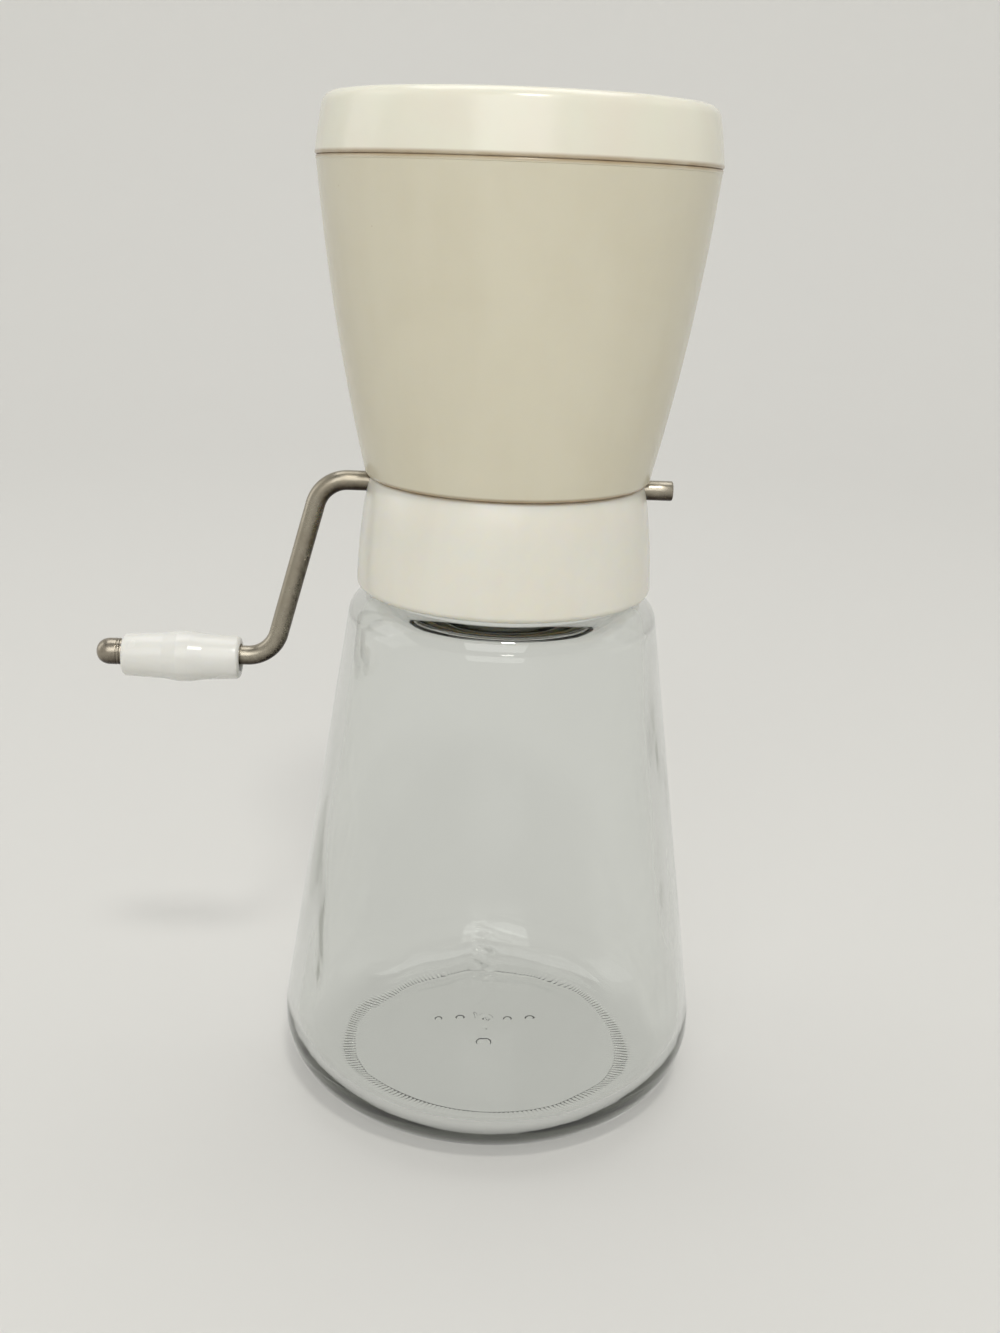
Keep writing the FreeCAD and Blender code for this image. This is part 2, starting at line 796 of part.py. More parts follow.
def make_blade(number):
    """One stamped blade: a hub with tines, each blade turned a little from the last."""
    body = new_body(f"rotor_blade_{number + 1}")
    body.Placement.Rotation = FreeCAD.Rotation(V(1, 0, 0), BLADE_STAGGER * number)
    place(body, across=blade_x(number), height=shaft_z)
    hub = sketch_on(body, "YZ_Plane", "hub")
    draw_circle(hub, 0, 0, bore_radius + s.blade_hub_wall)
    draw_circle(hub, 0, 0, bore_radius)
    pad(body, hub, s.blade_thickness, centred=True)
    half_tip = s.blade_tip_width / 2
    tip_z = root(s.blade_tip_radius * s.blade_tip_radius - half_tip * half_tip)
    tine = sketch_on(body, "YZ_Plane", "tine")
    draw_outline(tine, [
        Corner(-s.blade_root_width / 2, bore_radius + s.press_gap),
        Corner(s.blade_root_width / 2, bore_radius + s.press_gap),
        Corner(s.blade_tip_width / 2, tip_z),
        Corner(-s.blade_tip_width / 2, tip_z),
    ])
    first = pad(body, tine, s.blade_thickness, centred=True)
    pattern = body.newObject("PartDesign::PolarPattern", f"{body.Label}_tines")
    pattern.Originals = [first]
    pattern.Axis = (hub, ["N_Axis"])
    pattern.Angle = 360
    pattern.Occurrences = BLADE_TINES
    body.Tip = pattern
    return body


def make_rotor():
    blades = int(blade_count.value)
    spacer_radius = bore_radius + s.spacer_wall
    ring_radius = bore_radius + s.ring_wall
    gap = s.blade_pitch - s.blade_thickness
    parts = [make_blade(number) for number in range(blades)]
    for number in range(blades - 1):
        left = blade_x(number) + s.blade_thickness / 2
        parts.append(tube_on_shaft(f"rotor_spacer_{number + 1}", spacer_radius, left, gap, shaft_z))
    end_length = ring_inner_x - stack_half
    parts += [
        tube_on_shaft("end_spacer_left", spacer_radius, -ring_inner_x, end_length, shaft_z),
        tube_on_shaft("end_spacer_right", spacer_radius, stack_half, end_length, shaft_z),
        tube_on_shaft("retaining_ring_left", ring_radius, -ring_outer_x, s.ring_thickness, shaft_z),
        tube_on_shaft("retaining_ring_right", ring_radius, ring_inner_x, s.ring_thickness, shaft_z),
    ]
    return parts


# Combs and their screws

def make_comb(label, side_gap, side):
    """A flat comb on the collar's deck; side is -1 in front of the shaft and 1 behind it."""
    half_length = window_half_length + s.comb_overhang
    back_radius = spigot_bore_radius - s.comb_deck_gap
    side_y = root(back_radius * back_radius - half_length * half_length)
    tooth_half = (s.blade_pitch - s.blade_thickness) / 2 - side_gap
    row_length = blade_count * s.blade_pitch
    body = new_body(label)
    body.Placement.Rotation = FreeCAD.Rotation(V(0, 0, 1), 0 if side > 0 else 180)
    place(body, height=deck_top_z)
    plate = sketch_on(body, "XY_Plane", "plate")
    draw_outline(plate, [
        Corner(-half_length, window_half_width),
        Corner(half_length, window_half_width),
        Corner(half_length, side_y, bow=back_radius),
        Corner(-half_length, side_y),
    ])
    for across in (-s.screw_spacing / 2, s.screw_spacing / 2):
        draw_circle(plate, across, screw_y, pilot_radius)
    pad(body, plate, s.comb_thickness)
    tooth = sketch_on(body, "XY_Plane", "tooth")
    first_x = -(row_length / 2)
    draw_rectangle(tooth, first_x - tooth_half, s.tooth_tip_gap, first_x + tooth_half, window_half_width)
    first = pad(body, tooth, s.comb_thickness)
    pattern = body.newObject("PartDesign::LinearPattern", f"{label}_teeth")
    pattern.Originals = [first]
    pattern.Direction = (tooth, ["H_Axis"])
    bind(pattern, "Length", row_length)
    pattern.Occurrences = int(blade_count.value) + 1
    body.Tip = pattern
    return body


def make_screws(label, side):
    """Two pan-head screws with slots, as separate solids of one node."""
    head_z = deck_top_z + s.comb_thickness
    depth = side * screw_y
    screws = []
    for name, across in (("left", -s.screw_spacing / 2), ("right", s.screw_spacing / 2)):
        tag = f"{label}_{name}"
        head = cylinder(f"{tag}_head", s.screw_head_radius, s.screw_head_height, across, depth, head_z)
        shank_z = head_z - s.screw_length
        shank = cylinder(f"{tag}_shank", s.screw_shank_radius, s.screw_length, across, depth, shank_z)
        whole = doc.addObject("Part::Fuse", f"{tag}_solid")
        whole.Base = head
        whole.Tool = shank
        slot = doc.addObject("Part::Box", f"{tag}_slot")
        bind(slot, "Length", 2 * s.screw_head_radius)
        bind(slot, "Width", s.screw_slot_width)
        bind(slot, "Height", s.screw_slot_depth)
        slot_z = head_z + s.screw_head_height - s.screw_slot_depth
        place(slot, across - s.screw_head_radius, depth - s.screw_slot_width / 2, slot_z)
        screws.append(cut_from(tag, whole, slot))
    group = doc.addObject("Part::Compound", label)
    group.Links = screws
    group.Label = label
    return group


nodes = [
    make_glass_jar(),
    make_jar_gasket(),
    make_screw_collar(),
    make_hopper(),
    make_lid(),
    make_crank_rod(),
    make_crank_grip(),
    make_grip_washer(),
    make_cap_nut(),
    make_comb("coarse_comb", s.coarse_side_gap, -1),
    make_comb("fine_comb", s.fine_side_gap, 1),
    make_screws("coarse_comb_screws", -1),
    make_screws("fine_comb_screws", 1),
] + make_rotor()
doc.recompute()


# Checks before anything is written

failed = [item.Label for item in doc.Objects if {"Invalid", "Error"} & set(item.State)]
if failed:
    raise RuntimeError(f"failed objects: {failed}")
for node in nodes:
    if node.Shape.isNull() or not node.Shape.isValid() or not node.Shape.Solids:
        raise RuntimeError(f"{node.Label} has no valid solid")

os.makedirs("parts", exist_ok=True)
for node in nodes:
    node.Shape.exportStep(f"parts/{node.Label}.step")
    print(f"{node.Label}: {len(node.Shape.Solids)} solid, {node.Shape.Volume:.1f} mm3")
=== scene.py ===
"""Hand-cranked nut grinder on a glass jar: its looks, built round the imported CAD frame.

Sizes are in millimetres in the classes and become metres when a piece is made.
The jar's axis is Z, the table is z = 0, and the crank shaft lies along X.
"""
import logging
import math
from collections.abc import Callable, Iterable, Iterator, Sequence
from dataclasses import dataclass
from enum import Enum
from typing import Any

import bmesh
import bpy
from mathutils import Matrix, Vector, noise


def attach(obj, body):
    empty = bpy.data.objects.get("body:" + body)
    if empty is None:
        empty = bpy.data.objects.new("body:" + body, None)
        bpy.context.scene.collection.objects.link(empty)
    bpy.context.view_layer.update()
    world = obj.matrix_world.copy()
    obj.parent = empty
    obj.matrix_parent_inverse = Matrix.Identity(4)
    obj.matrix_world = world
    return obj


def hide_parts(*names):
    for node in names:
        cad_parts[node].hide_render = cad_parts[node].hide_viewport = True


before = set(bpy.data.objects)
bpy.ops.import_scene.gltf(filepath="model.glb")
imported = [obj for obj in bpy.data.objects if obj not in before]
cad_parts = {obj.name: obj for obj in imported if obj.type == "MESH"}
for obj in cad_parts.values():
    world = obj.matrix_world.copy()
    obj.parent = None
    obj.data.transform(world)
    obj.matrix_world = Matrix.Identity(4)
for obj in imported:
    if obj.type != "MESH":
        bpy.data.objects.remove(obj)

Colour = tuple[float, float, float, float]
Triple = tuple[float, float, float]
Mesh = bmesh.types.BMesh
Vertex = bmesh.types.BMVert
Piece = bpy.types.Object
Socket = bpy.types.NodeSocket

LOG = logging.getLogger("nut_grinder")
MM = 0.001
FULL_TURN = 2 * math.pi
# Name of the attribute that holds how much painted underside shade each point gets.
SHADE_LAYER = "painted_underside"
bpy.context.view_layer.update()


# Shader maths

def tone(*levels: int) -> Colour:
    """Turn an 8-bit screen colour into the linear colour that a shader takes.

    Args:
        levels: red, green and blue, 0 to 255.

    Returns:
        The linear colour with full alpha.
    """
    def linear(level: int) -> float:
        """Give the share of light behind one level."""
        share = level / 255
        return share / 12.92 if share <= 0.04045 else ((share + 0.055) / 1.055) ** 2.4

    red, green, blue = (linear(level) for level in levels)
    return (red, green, blue, 1.0)


class Axis(Enum):
    """The object's three directions, by the names of their sockets."""

    ALONG_SHAFT = "X"
    DEPTH = "Y"
    UP = "Z"


def operator(operation: str, swapped: bool = False) -> Callable[..., "Wire"]:
    """Make the method behind one of a wire's operators.

    Args:
        operation: the Math node's operation.
        swapped: whether the wire comes second, as in a reflected form.

    Returns:
        The method.
    """
    def method(wire: "Wire", other: "Wire | float" = 0.0) -> "Wire":
        """Add the Math node and give its result."""
        first, second = (other, wire) if swapped else (wire, other)
        return wire.paint.wire("ShaderNodeMath", {"operation": operation}, {0: first, 1: second})

    return method


class Wire:
    """A value that flows through a material's nodes, with the arithmetic of a number."""

    __add__, __radd__ = operator("ADD"), operator("ADD", swapped=True)
    __sub__, __rsub__ = operator("SUBTRACT"), operator("SUBTRACT", swapped=True)
    __mul__, __rmul__ = operator("MULTIPLY"), operator("MULTIPLY", swapped=True)
    __truediv__, __pow__, __abs__ = operator("DIVIDE"), operator("POWER"), operator("ABSOLUTE")
    rounded, either = operator("ROUND"), operator("MAXIMUM")

    def __init__(self, paint: "Paint", socket: Socket) -> None:
        """Wrap a socket of the paint's node tree."""
        self.paint, self.socket = paint, socket

    def beside(self, spacing: float) -> "Wire":
        """Give how far the value is from the nearest multiple of a spacing."""
        return abs(self - (self / spacing).rounded() * spacing)

    def reach(self, other: "Wire") -> "Wire":
        """Give the length of a line that goes this far one way and the other value across."""
        return (abs(self) ** 2 + abs(other) ** 2) ** 0.5

    def band(self, low: float, high: float) -> "Wire":
        """Rise smoothly from 0 at low to 1 at high.

        Args:
            low: the value that becomes 0.
            high: the value that becomes 1; it may be the smaller of the two.

        Returns:
            The softened step.
        """
        sizes = {"Value": self, "From Min": min(low, high), "From Max": max(low, high)}
        if low > high:
            sizes |= {"To Min": 1.0, "To Max": 0.0}
        return self.paint.wire("ShaderNodeMapRange", {"interpolation_type": "SMOOTHSTEP"}, sizes)


class Paint:
    """A material under construction: its node tree and its Principled shader."""

    def __init__(self, name: str) -> None:
        """Start an empty material with a Principled shader on its output."""
        self.material = bpy.data.materials.new(name)
        self.material.use_nodes = True
        self.tree = self.material.node_tree
        self.tree.nodes.clear()
        self.output = self.add("ShaderNodeOutputMaterial", {}, {})
        self.shader = self.add("ShaderNodeBsdfPrincipled", {}, {})
        self.feed(self.output.inputs["Surface"], self.shader.outputs[0])

    def add(self, kind: str, settings: dict[str, Any], inputs: dict[Any, Any]) -> bpy.types.Node:
        """Add one node.

        Args:
            kind: the node's type name.
            settings: properties of the node, set before its sockets.
            inputs: values, wires or sockets by input name or number.

        Returns:
            The new node.
        """
        node = self.tree.nodes.new(kind)
        for name, value in settings.items():
            setattr(node, name, value)
        for key, value in inputs.items():
            self.feed(node.inputs[key], value)
        return node

    def feed(self, socket: Socket, value: Any) -> None:
        """Fill a socket.

        Args:
            socket: the input.
            value: a wire or an output to link, or a plain value.
        """
        value = value.socket if isinstance(value, Wire) else value
        if isinstance(value, Socket):
            self.tree.links.new(value, socket)
        else:
            socket.default_value = value

    def wire(self, kind: str, settings: dict[str, Any], inputs: dict[Any, Any], output: int | str = 0) -> Wire:
        """Add one node, as add does, and wrap one of its outputs."""
        return Wire(self, self.add(kind, settings, inputs).outputs[output])

    def spot(self, stretch: Triple = (1.0, 1.0, 1.0)) -> Socket:
        """Give the piece's own coordinates in metres, times a factor of each axis; above 1 packs a pattern closer."""
        own = self.add("ShaderNodeTexCoord", {}, {}).outputs["Object"]
        return self.add("ShaderNodeMapping", {}, {"Vector": own, "Scale": stretch}).outputs[0]

    def place(self, axis: Axis) -> Wire:
        """Give the place along one direction in millimetres."""
        return self.wire("ShaderNodeSeparateXYZ", {}, {0: self.spot()}, axis.value) * (1 / MM)

    def cloud(self, grain: float, detail: float = 2.0, stretch: Triple = (1.0, 1.0, 1.0),
              distortion: float = 0.0) -> Wire:
        """Give soft noise between 0 and 1.

        Args:
            grain: size of its blotches in millimetres.
            detail: how many finer layers it has.
            stretch: factor of each axis before the noise.
            distortion: how far it is stirred.

        Returns:
            The noise.
        """
        return self.wire("ShaderNodeTexNoise", {}, {
            "Vector": self.spot(stretch), "Scale": 1 / (grain * MM), "Detail": detail,
            "Roughness": 0.55, "Distortion": distortion,
        })

    def specks(self, spacing: float, size: float) -> Wire:
        """Give small round specks, 1 inside and 0 outside, on a few of a pattern's cells.

        Args:
            spacing: mean distance between the cells in millimetres.
            size: share of the spacing that the largest speck covers.

        Returns:
            The mask.
        """
        cells = self.add("ShaderNodeTexVoronoi", {"feature": "F1"},
                         {"Vector": self.spot(), "Scale": 1 / (spacing * MM)}).outputs
        chosen = self.wire("ShaderNodeSeparateXYZ", {}, {0: cells["Color"]}).band(0.72, 0.8)
        return Wire(self, cells["Distance"]).band(size, size * 0.4) * chosen

    def mix(self, first: Any, second: Any, share: Wire | float) -> Socket:
        """Blend two colours; the share is how much of the second shows."""
        return self.add("ShaderNodeMix", {"data_type": "RGBA", "clamp_factor": True},
                        {0: share, 6: first, 7: second}).outputs[2]

    def relief(self, height: Wire) -> None:
        """Raise the surface by a height in millimetres."""
        bump = self.add("ShaderNodeBump", {}, {"Height": height, "Strength": 1.0, "Distance": MM})
        self.set(Normal=bump.outputs[0])

    def set(self, **values: Any) -> None:
        """Set the shader's sockets by name, with underscores for spaces."""
        for name, value in values.items():
            self.feed(self.shader.inputs[name.replace("_", " ")], value)


# Finishes

@dataclass(frozen=True)
class Finish:
    """The surface of a piece; the name is its material's."""

    name: str

    def dress(self, paint: Paint) -> None:
        """Set the paint's sockets; each kind of finish has its own way."""
        raise NotImplementedError

    def material(self) -> bpy.types.Material:
        """Build the material.

        Returns:
            The finished material.
        """
        paint = Paint(self.name)
        self.dress(paint)
        return paint.material


Made = tuple[Piece, Finish, str]


@dataclass(frozen=True)
class Plastic(Finish):
    """Moulded plastic with a soft gloss.

    Attributes:
        seams: height of each seam, along which grime and painted shade lay a brown line, and the radius inside which
            the plastic stays unmarked.
        glow: how much of the light sinks into it, from 0 to 1, and sink is how deep.
        clouding: how much of the shade shows.
    """

    colour: Colour
    shade: Colour
    grime_and_seam_shade: Colour = tone(146, 118, 78)
    roughness: float = 0.22
    seams: tuple[tuple[float, float], ...] = ()
    glow: float = 0.12
    sink: float = 1.2
    clouding: float = 0.5

    def dress(self, paint: Paint) -> None:
        """Make it mottled and dusty, with a brown line of grime and painted shade along each seam.

        Args:
            paint: the material's paint.
        """
        clouds = paint.cloud(24.0, 3.0, distortion=0.4)
        flow = paint.cloud(7.0, 2.0, (1.0, 1.0, 0.12))
        colour = paint.mix(self.colour, self.shade, (clouds * 0.65 + flow * 0.35).band(0.38, 0.68) * self.clouding)
        # Each seam's brown line is partly grime and partly painted shade in the joint.
        for seam, unmarked_radius in self.seams:
            radius = paint.place(Axis.ALONG_SHAFT).reach(paint.place(Axis.DEPTH))
            line = abs(paint.place(Axis.UP) - seam).band(0.75, 0.1) * radius.band(unmarked_radius - 0.2, unmarked_radius + 0.2)
            colour = paint.mix(colour, self.grime_and_seam_shade, line * (paint.cloud(6.0) * 0.5 + 0.4))
        paint.set(
            Base_Color=paint.mix(colour, self.grime_and_seam_shade, paint.specks(6.0, 0.03) * 0.5),
            Roughness=paint.cloud(11.0, 3.0) * 0.1 + (self.roughness - 0.05),
            IOR=1.49,
            Subsurface_Weight=self.glow,
            Subsurface_Radius=(1.0, 0.8, 0.5),
            Subsurface_Scale=self.sink * MM,
        )
        paint.relief(paint.cloud(0.9) * 0.004 + paint.cloud(6.0, 1.0) * 0.01)


@dataclass(frozen=True)
class Glass(Finish):
    """Clear pressed glass with flow waves, a mould seam, plain dots under its base and a scuffed foot.

    Attributes:
        body: the tint that gathers over a long way through the glass, and density is how fast.
        wave: depth of the flow waves.
        seam: where the mould seam runs, along the shaft.
        row: middle of the row of five dots, in X and Y; mark is the single larger dot's.
    """

    colour: Colour = tone(253, 254, 253)
    body: Colour = tone(205, 207, 201)
    density: float = 66.0
    wave: float = 0.05
    scuff_height: float = 3.0
    seam: float = -1.8
    seam_ends: tuple[float, float] = (12.0, 97.0)
    row: tuple[float, float] = (0.3, 6.9)
    row_spacing: float = 4.85
    row_reach: float = 12.0
    mark: tuple[float, float] = (-0.3, -2.6)

    def _seam(self, paint: Paint) -> Wire:
        """Draw the mould seam, which the flow of the glass left lumpy.

        Args:
            paint: the material's paint.

        Returns:
            Its height in millimetres.
        """
        low, high = self.seam_ends
        height = paint.place(Axis.UP)
        off = abs(paint.place(Axis.ALONG_SHAFT) - self.seam)
        clusters = paint.cloud(9.0, 0.0, (0.1, 0.1, 1.0)).band(0.46, 0.62)
        lumps = paint.cloud(2.4, 0.0).band(0.36, 0.66)
        ridge = off.band(2.8, 0.4) * clusters * lumps * 0.08 + off.band(1.0, 0.0) * 0.015
        return ridge * height.band(low, low + 5) * height.band(high, high - 3)

    def _dots(self, paint: Paint) -> Wire:
        """Draw the plain dots under the base.

        Args:
            paint: the material's paint.

        Returns:
            Their height in millimetres.
        """
        along, deep = paint.place(Axis.ALONG_SHAFT), paint.place(Axis.DEPTH)
        from_row = along - self.row[0]
        row = from_row.beside(self.row_spacing).reach(deep - self.row[1]).band(1.0, 0.6)
        row = row * abs(from_row).band(self.row_reach + 0.2, self.row_reach - 0.2)
        mark = (along - self.mark[0]).reach(deep - self.mark[1]).band(1.7, 1.3)
        return row.either(mark) * paint.place(Axis.UP).band(3.2, 2.6) * 0.3

    def dress(self, paint: Paint) -> None:
        """Make it clear and wavy, with its seam, dots and scuffs.

        Args:
            paint: the material's paint.
        """
        height = paint.place(Axis.UP)
        scuffs = height.band(self.scuff_height, 0.0) * paint.cloud(1.2, 3.0).band(0.5, 0.7)
        waves = paint.cloud(9.0, 1.5, (1.0, 1.0, 0.45), distortion=0.6) + paint.cloud(2.6, 1.0) * 0.05
        flow = height.band(4.0, 26.0) * height.band(102.0, 88.0) * 0.8 + 0.2
        paint.set(Base_Color=self.colour, Roughness=scuffs * 0.18, IOR=1.5, Transmission_Weight=1.0)
        paint.relief(waves * flow * self.wave + self._seam(paint) + self._dots(paint))
        tint = paint.add("ShaderNodeVolumeAbsorption", {}, {"Color": self.body, "Density": self.density})
        paint.feed(paint.output.inputs["Volume"], tint.outputs[0])


@dataclass(frozen=True)
class Metal(Finish):
    """Plated or stamped metal.

    Attributes:
        painted_underside: the brown of the painted shade and dark reflection on the undersides, or nothing.
        grain: stretch of the rolling marks along each axis.
        tarnishing: how much of the tarnish's dull patches shows.
    """

    colour: Colour
    tarnish: Colour
    roughness: float = 0.28
    painted_underside: Colour | None = None
    grain: Triple = (1.0, 1.0, 1.0)
    tarnishing: float = 0.5

    def dress(self, paint: Paint) -> None:
        """Make it patchy and pitted, with rolling marks, and with painted shade on its undersides.

        Args:
            paint: the material's paint.
        """
        patches = paint.cloud(7.0, 3.0, distortion=0.3).band(0.4, 0.75)
        pits = paint.specks(0.9, 0.16)
        marks = paint.cloud(0.35, 2.0, self.grain)
        colour = paint.mix(self.colour, self.tarnish, patches * self.tarnishing)
        # Painted shade: the undersides are darkened in brown to stand in for dark reflections and shade.
        if self.painted_underside:
            shade_share = paint.wire("ShaderNodeAttribute", {"attribute_name": SHADE_LAYER}, {}, "Fac")
            shade_spread = shade_share + (paint.cloud(1.2, 3.0) - 0.5) * 0.22
            colour = paint.mix(colour, self.painted_underside, shade_spread.band(0.4, 0.9))
        paint.set(
            Base_Color=paint.mix(colour, self.tarnish, pits * 0.7),
            Metallic=1.0,
            Roughness=patches * 0.12 + marks * 0.16 + pits * 0.2 + (self.roughness - 0.08),
        )
        paint.relief(marks * 0.006 - pits * 0.005 + paint.cloud(1.6) * 0.004)


@dataclass(frozen=True)
class Rubber(Finish):
    """Soft pale gasket rubber, matt and a little dusty."""

    colour: Colour
    shade: Colour

    def dress(self, paint: Paint) -> None:
        """Make it matt and dusty.

        Args:
            paint: the material's paint.
        """
        paint.set(
            Base_Color=paint.mix(self.colour, self.shade, paint.cloud(4.0, 4.0).band(0.4, 0.7)),
            Roughness=paint.cloud(2.0, 3.0) * 0.2 + 0.55,
        )
        paint.relief(paint.cloud(0.4, 3.0) * 0.03)


LID_PLASTIC = Plastic("lid_ivory", tone(222, 221, 206), tone(221, 213, 200), roughness=0.2,
                      seams=((183.2, 36.0),))
COLLAR_PLASTIC = Plastic("collar_ivory", tone(223, 221, 212), tone(216, 212, 201),
                         seams=((126.0, 25.2),), glow=0.8, sink=3.0)
HOPPER_PLASTIC = Plastic("hopper_beige", tone(208, 203, 184), tone(201, 195, 174), roughness=0.2,
                         seams=((126.2, 25.0), (182.9, 34.0)), glow=0.2)
GRIP_PLASTIC = Plastic("grip_white", tone(219, 219, 215), tone(211, 210, 204), roughness=0.26, glow=0.15,
                       clouding=0.4)
JAR_GLASS = Glass("jar_glass")
# The rod, washer and nut get painted brown shade on their undersides.
ROD_NICKEL = Metal("rod_nickel", tone(166, 159, 144), tone(138, 128, 110), painted_underside=tone(48, 38, 29))
NUT_NICKEL = Metal("nut_nickel", tone(160, 152, 138), tone(132, 120, 103), painted_underside=tone(48, 38, 29))
STAMPED_STEEL = Metal("stamped_steel", tone(200, 200, 198), tone(165, 163, 158), roughness=0.3,
                      grain=(0.06, 1.0, 1.0), tarnishing=0.35)
TURNED_STEEL = Metal("turned_steel", tone(192, 191, 187), tone(150, 147, 140), grain=(1.0, 0.2, 0.2),
                     tarnishing=0.35)
GASKET_RUBBER = Rubber("gasket_rubber", tone(205, 201, 190), tone(178, 172, 156))


# Shapes

def only(kind: type, items: Iterable[Any]) -> list[Any]:
    """Keep the items of one kind."""
    return [item for item in items if isinstance(item, kind)]


def shift(mesh: Mesh, way: Sequence[float]) -> None:
    """Move a whole mesh."""
    bmesh.ops.translate(mesh, verts=mesh.verts, vec=way)


def tip(mesh: Mesh, angle: float = math.pi / 2) -> None:
    """Turn a whole mesh about the Y axis."""
    bmesh.ops.rotate(mesh, verts=mesh.verts, cent=(0, 0, 0), matrix=Matrix.Rotation(angle, 3, "Y"))


def face_outwards(mesh: Mesh) -> None:
    """Turn every face's normal outwards."""
    bmesh.ops.recalc_face_normals(mesh, faces=mesh.faces)


@dataclass(frozen=True)
class Corner:
    """A corner of a turned outline, in millimetres.

    Attributes:
        out: distance from the axis; up is the place along it.
        rounding: radius of the rounded corner.
        bow: how far the side to the next corner bulges to the right of its way.
        cuts: how many points divide that side.
    """

    out: float
    up: float
    rounding: float = 0.0
    bow: float = 0.0
    cuts: int = 0

    def point(self) -> Vector:
        """Give the corner in the outline's plane."""
        return Vector((self.out, 0.0, self.up))


class Outline:
    """A line of corners that is rounded, bowed and turned into a solid."""

    ROUND_STEPS = 7

    def __init__(self, corners: Sequence[Corner], closed: bool = False) -> None:
        """Draw the outline.

        Args:
            corners: the corners in order; the first of a closed outline has no rounding.
            closed: whether the last corner joins the first, as on a ring.
        """
        self.mesh = bmesh.new()
        self.corners = corners
        number = self.mesh.edges.layers.int.new("number")
        spots = [self.mesh.verts.new(corner.point()) for corner in corners]
        following = spots[1:] + (spots[:1] if closed else [])
        for count, ends in enumerate(zip(spots, following), 1):
            self.mesh.edges.new(ends)[number] = count
        self._round(spots, number)
        sides = {edge[number]: edge for edge in self.mesh.edges}
        for count, corner in enumerate(corners, 1):
            if corner.cuts:
                self._divide(corner, sides[count])
        self.mesh.edges.layers.int.remove(number)

    def _round(self, spots: Sequence[Vertex], number: Any) -> None:
        """Round the corners that have a rounding.

        Args:
            spots: the point of each corner.
            number: the layer with each side's number, which becomes 0 on the roundings.
        """
        places = [corner.point() for corner in self.corners]
        for count, corner in enumerate(self.corners):
            if not corner.rounding:
                continue
            into = places[count] - places[count - 1]
            out = places[(count + 1) % len(places)] - places[count]
            reach = corner.rounding * math.tan(into.angle(out) / 2)
            made = bmesh.ops.bevel(self.mesh, geom=[spots[count]], offset=reach, segments=self.ROUND_STEPS,
                                   profile=0.5, affect="VERTICES", material=-1)
            for edge in made["edges"]:
                edge[number] = 0

    def _divide(self, corner: Corner, side: bmesh.types.BMEdge) -> None:
        """Divide and bow a side.

        Args:
            corner: the corner where it starts.
            side: its edge.
        """
        ends = (vert.co.copy() for vert in side.verts)
        start, end = sorted(ends, key=lambda place: (place - corner.point()).length)
        way = end - start
        right = Vector((way.z, 0.0, -way.x)).normalized()
        made = bmesh.ops.subdivide_edges(self.mesh, edges=[side], cuts=corner.cuts)
        for spot in only(Vertex, made["geom_inner"]):
            share = (spot.co - start).dot(way) / way.length_squared
            spot.co += right * (4 * corner.bow * share * (1 - share))

    def turned(self, segments: int = 256) -> Mesh:
        """Spin the outline a full turn about its axis.

        Args:
            segments: how many steps the turn has.

        Returns:
            The closed mesh, in millimetres.
        """
        mesh = self.mesh
        bmesh.ops.spin(mesh, geom=mesh.verts[:] + mesh.edges[:], cent=(0, 0, 0), axis=(0, 0, 1),
                       angle=FULL_TURN, steps=segments, use_merge=True)
        bmesh.ops.remove_doubles(mesh, verts=mesh.verts, dist=1e-4)
        face_outwards(mesh)
        return mesh


def stand(name: str, data: Any) -> Piece:
    """Put a mesh, a light or a camera into the scene.

    Args:
        name: the object's name.
        data: what it shows.

    Returns:
        The object.
    """
    thing = bpy.data.objects.new(name, data)
    bpy.context.scene.collection.objects.link(thing)
    return thing


def make_object(mesh: Mesh, name: str, sharp: float = 35.0) -> Piece:
    """Turn a mesh in millimetres into an object in metres.

    Args:
        mesh: the mesh, which is used up.
        name: the object's name.
        sharp: angle in degrees past which an edge stays sharp.

    Returns:
        The object, smooth apart from its sharp edges.
    """
    bmesh.ops.scale(mesh, verts=mesh.verts, vec=(MM, MM, MM))
    data = bpy.data.meshes.new(name)
    mesh.to_mesh(data)
    mesh.free()
    piece = stand(name, data)
    smooth(piece, sharp)
    return piece


def smooth(piece: Piece, sharp: float = 35.0) -> None:
    """Shade a piece smooth, with the edges past an angle in degrees kept sharp."""
    piece.data.shade_smooth()
    piece.data.set_sharp_from_angle(angle=math.radians(sharp))


def carve(piece: Piece, joined: Sequence[Mesh], cut: Sequence[Mesh]) -> None:
    """Join tools to a piece, cut others out of it, and keep the result as its mesh.

    Args:
        piece: the object.
        joined: the closed meshes to join, in millimetres.
        cut: the closed meshes to cut out.
    """
    tools = [("UNION", mesh) for mesh in joined] + [("DIFFERENCE", mesh) for mesh in cut]
    for operation, mesh in tools:
        change = piece.modifiers.new("carve", "BOOLEAN")
        change.operation, change.solver = operation, "EXACT"
        change.object = make_object(mesh, "tool")
    graph = bpy.context.evaluated_depsgraph_get()
    data = bpy.data.meshes.new_from_object(piece.evaluated_get(graph))
    used = [piece.data] + [change.object.data for change in piece.modifiers]
    piece.modifiers.clear()
    piece.data = data
    for mesh in used:
        bpy.data.meshes.remove(mesh)
    data.name = piece.name
    smooth(piece)


def block(halves: Sequence[float], low: float, high: float) -> Mesh:
    """Make a box on the axis.

    Args:
        halves: half its length and its width.
        low: height of its underside.
        high: height of its top.

    Returns:
        The box.
    """
    mesh = bmesh.new()
    bmesh.ops.create_cube(mesh, size=1.0)
    bmesh.ops.scale(mesh, verts=mesh.verts, vec=(2 * halves[0], 2 * halves[1], high - low))
    shift(mesh, (0, 0, (low + high) / 2))
    return mesh


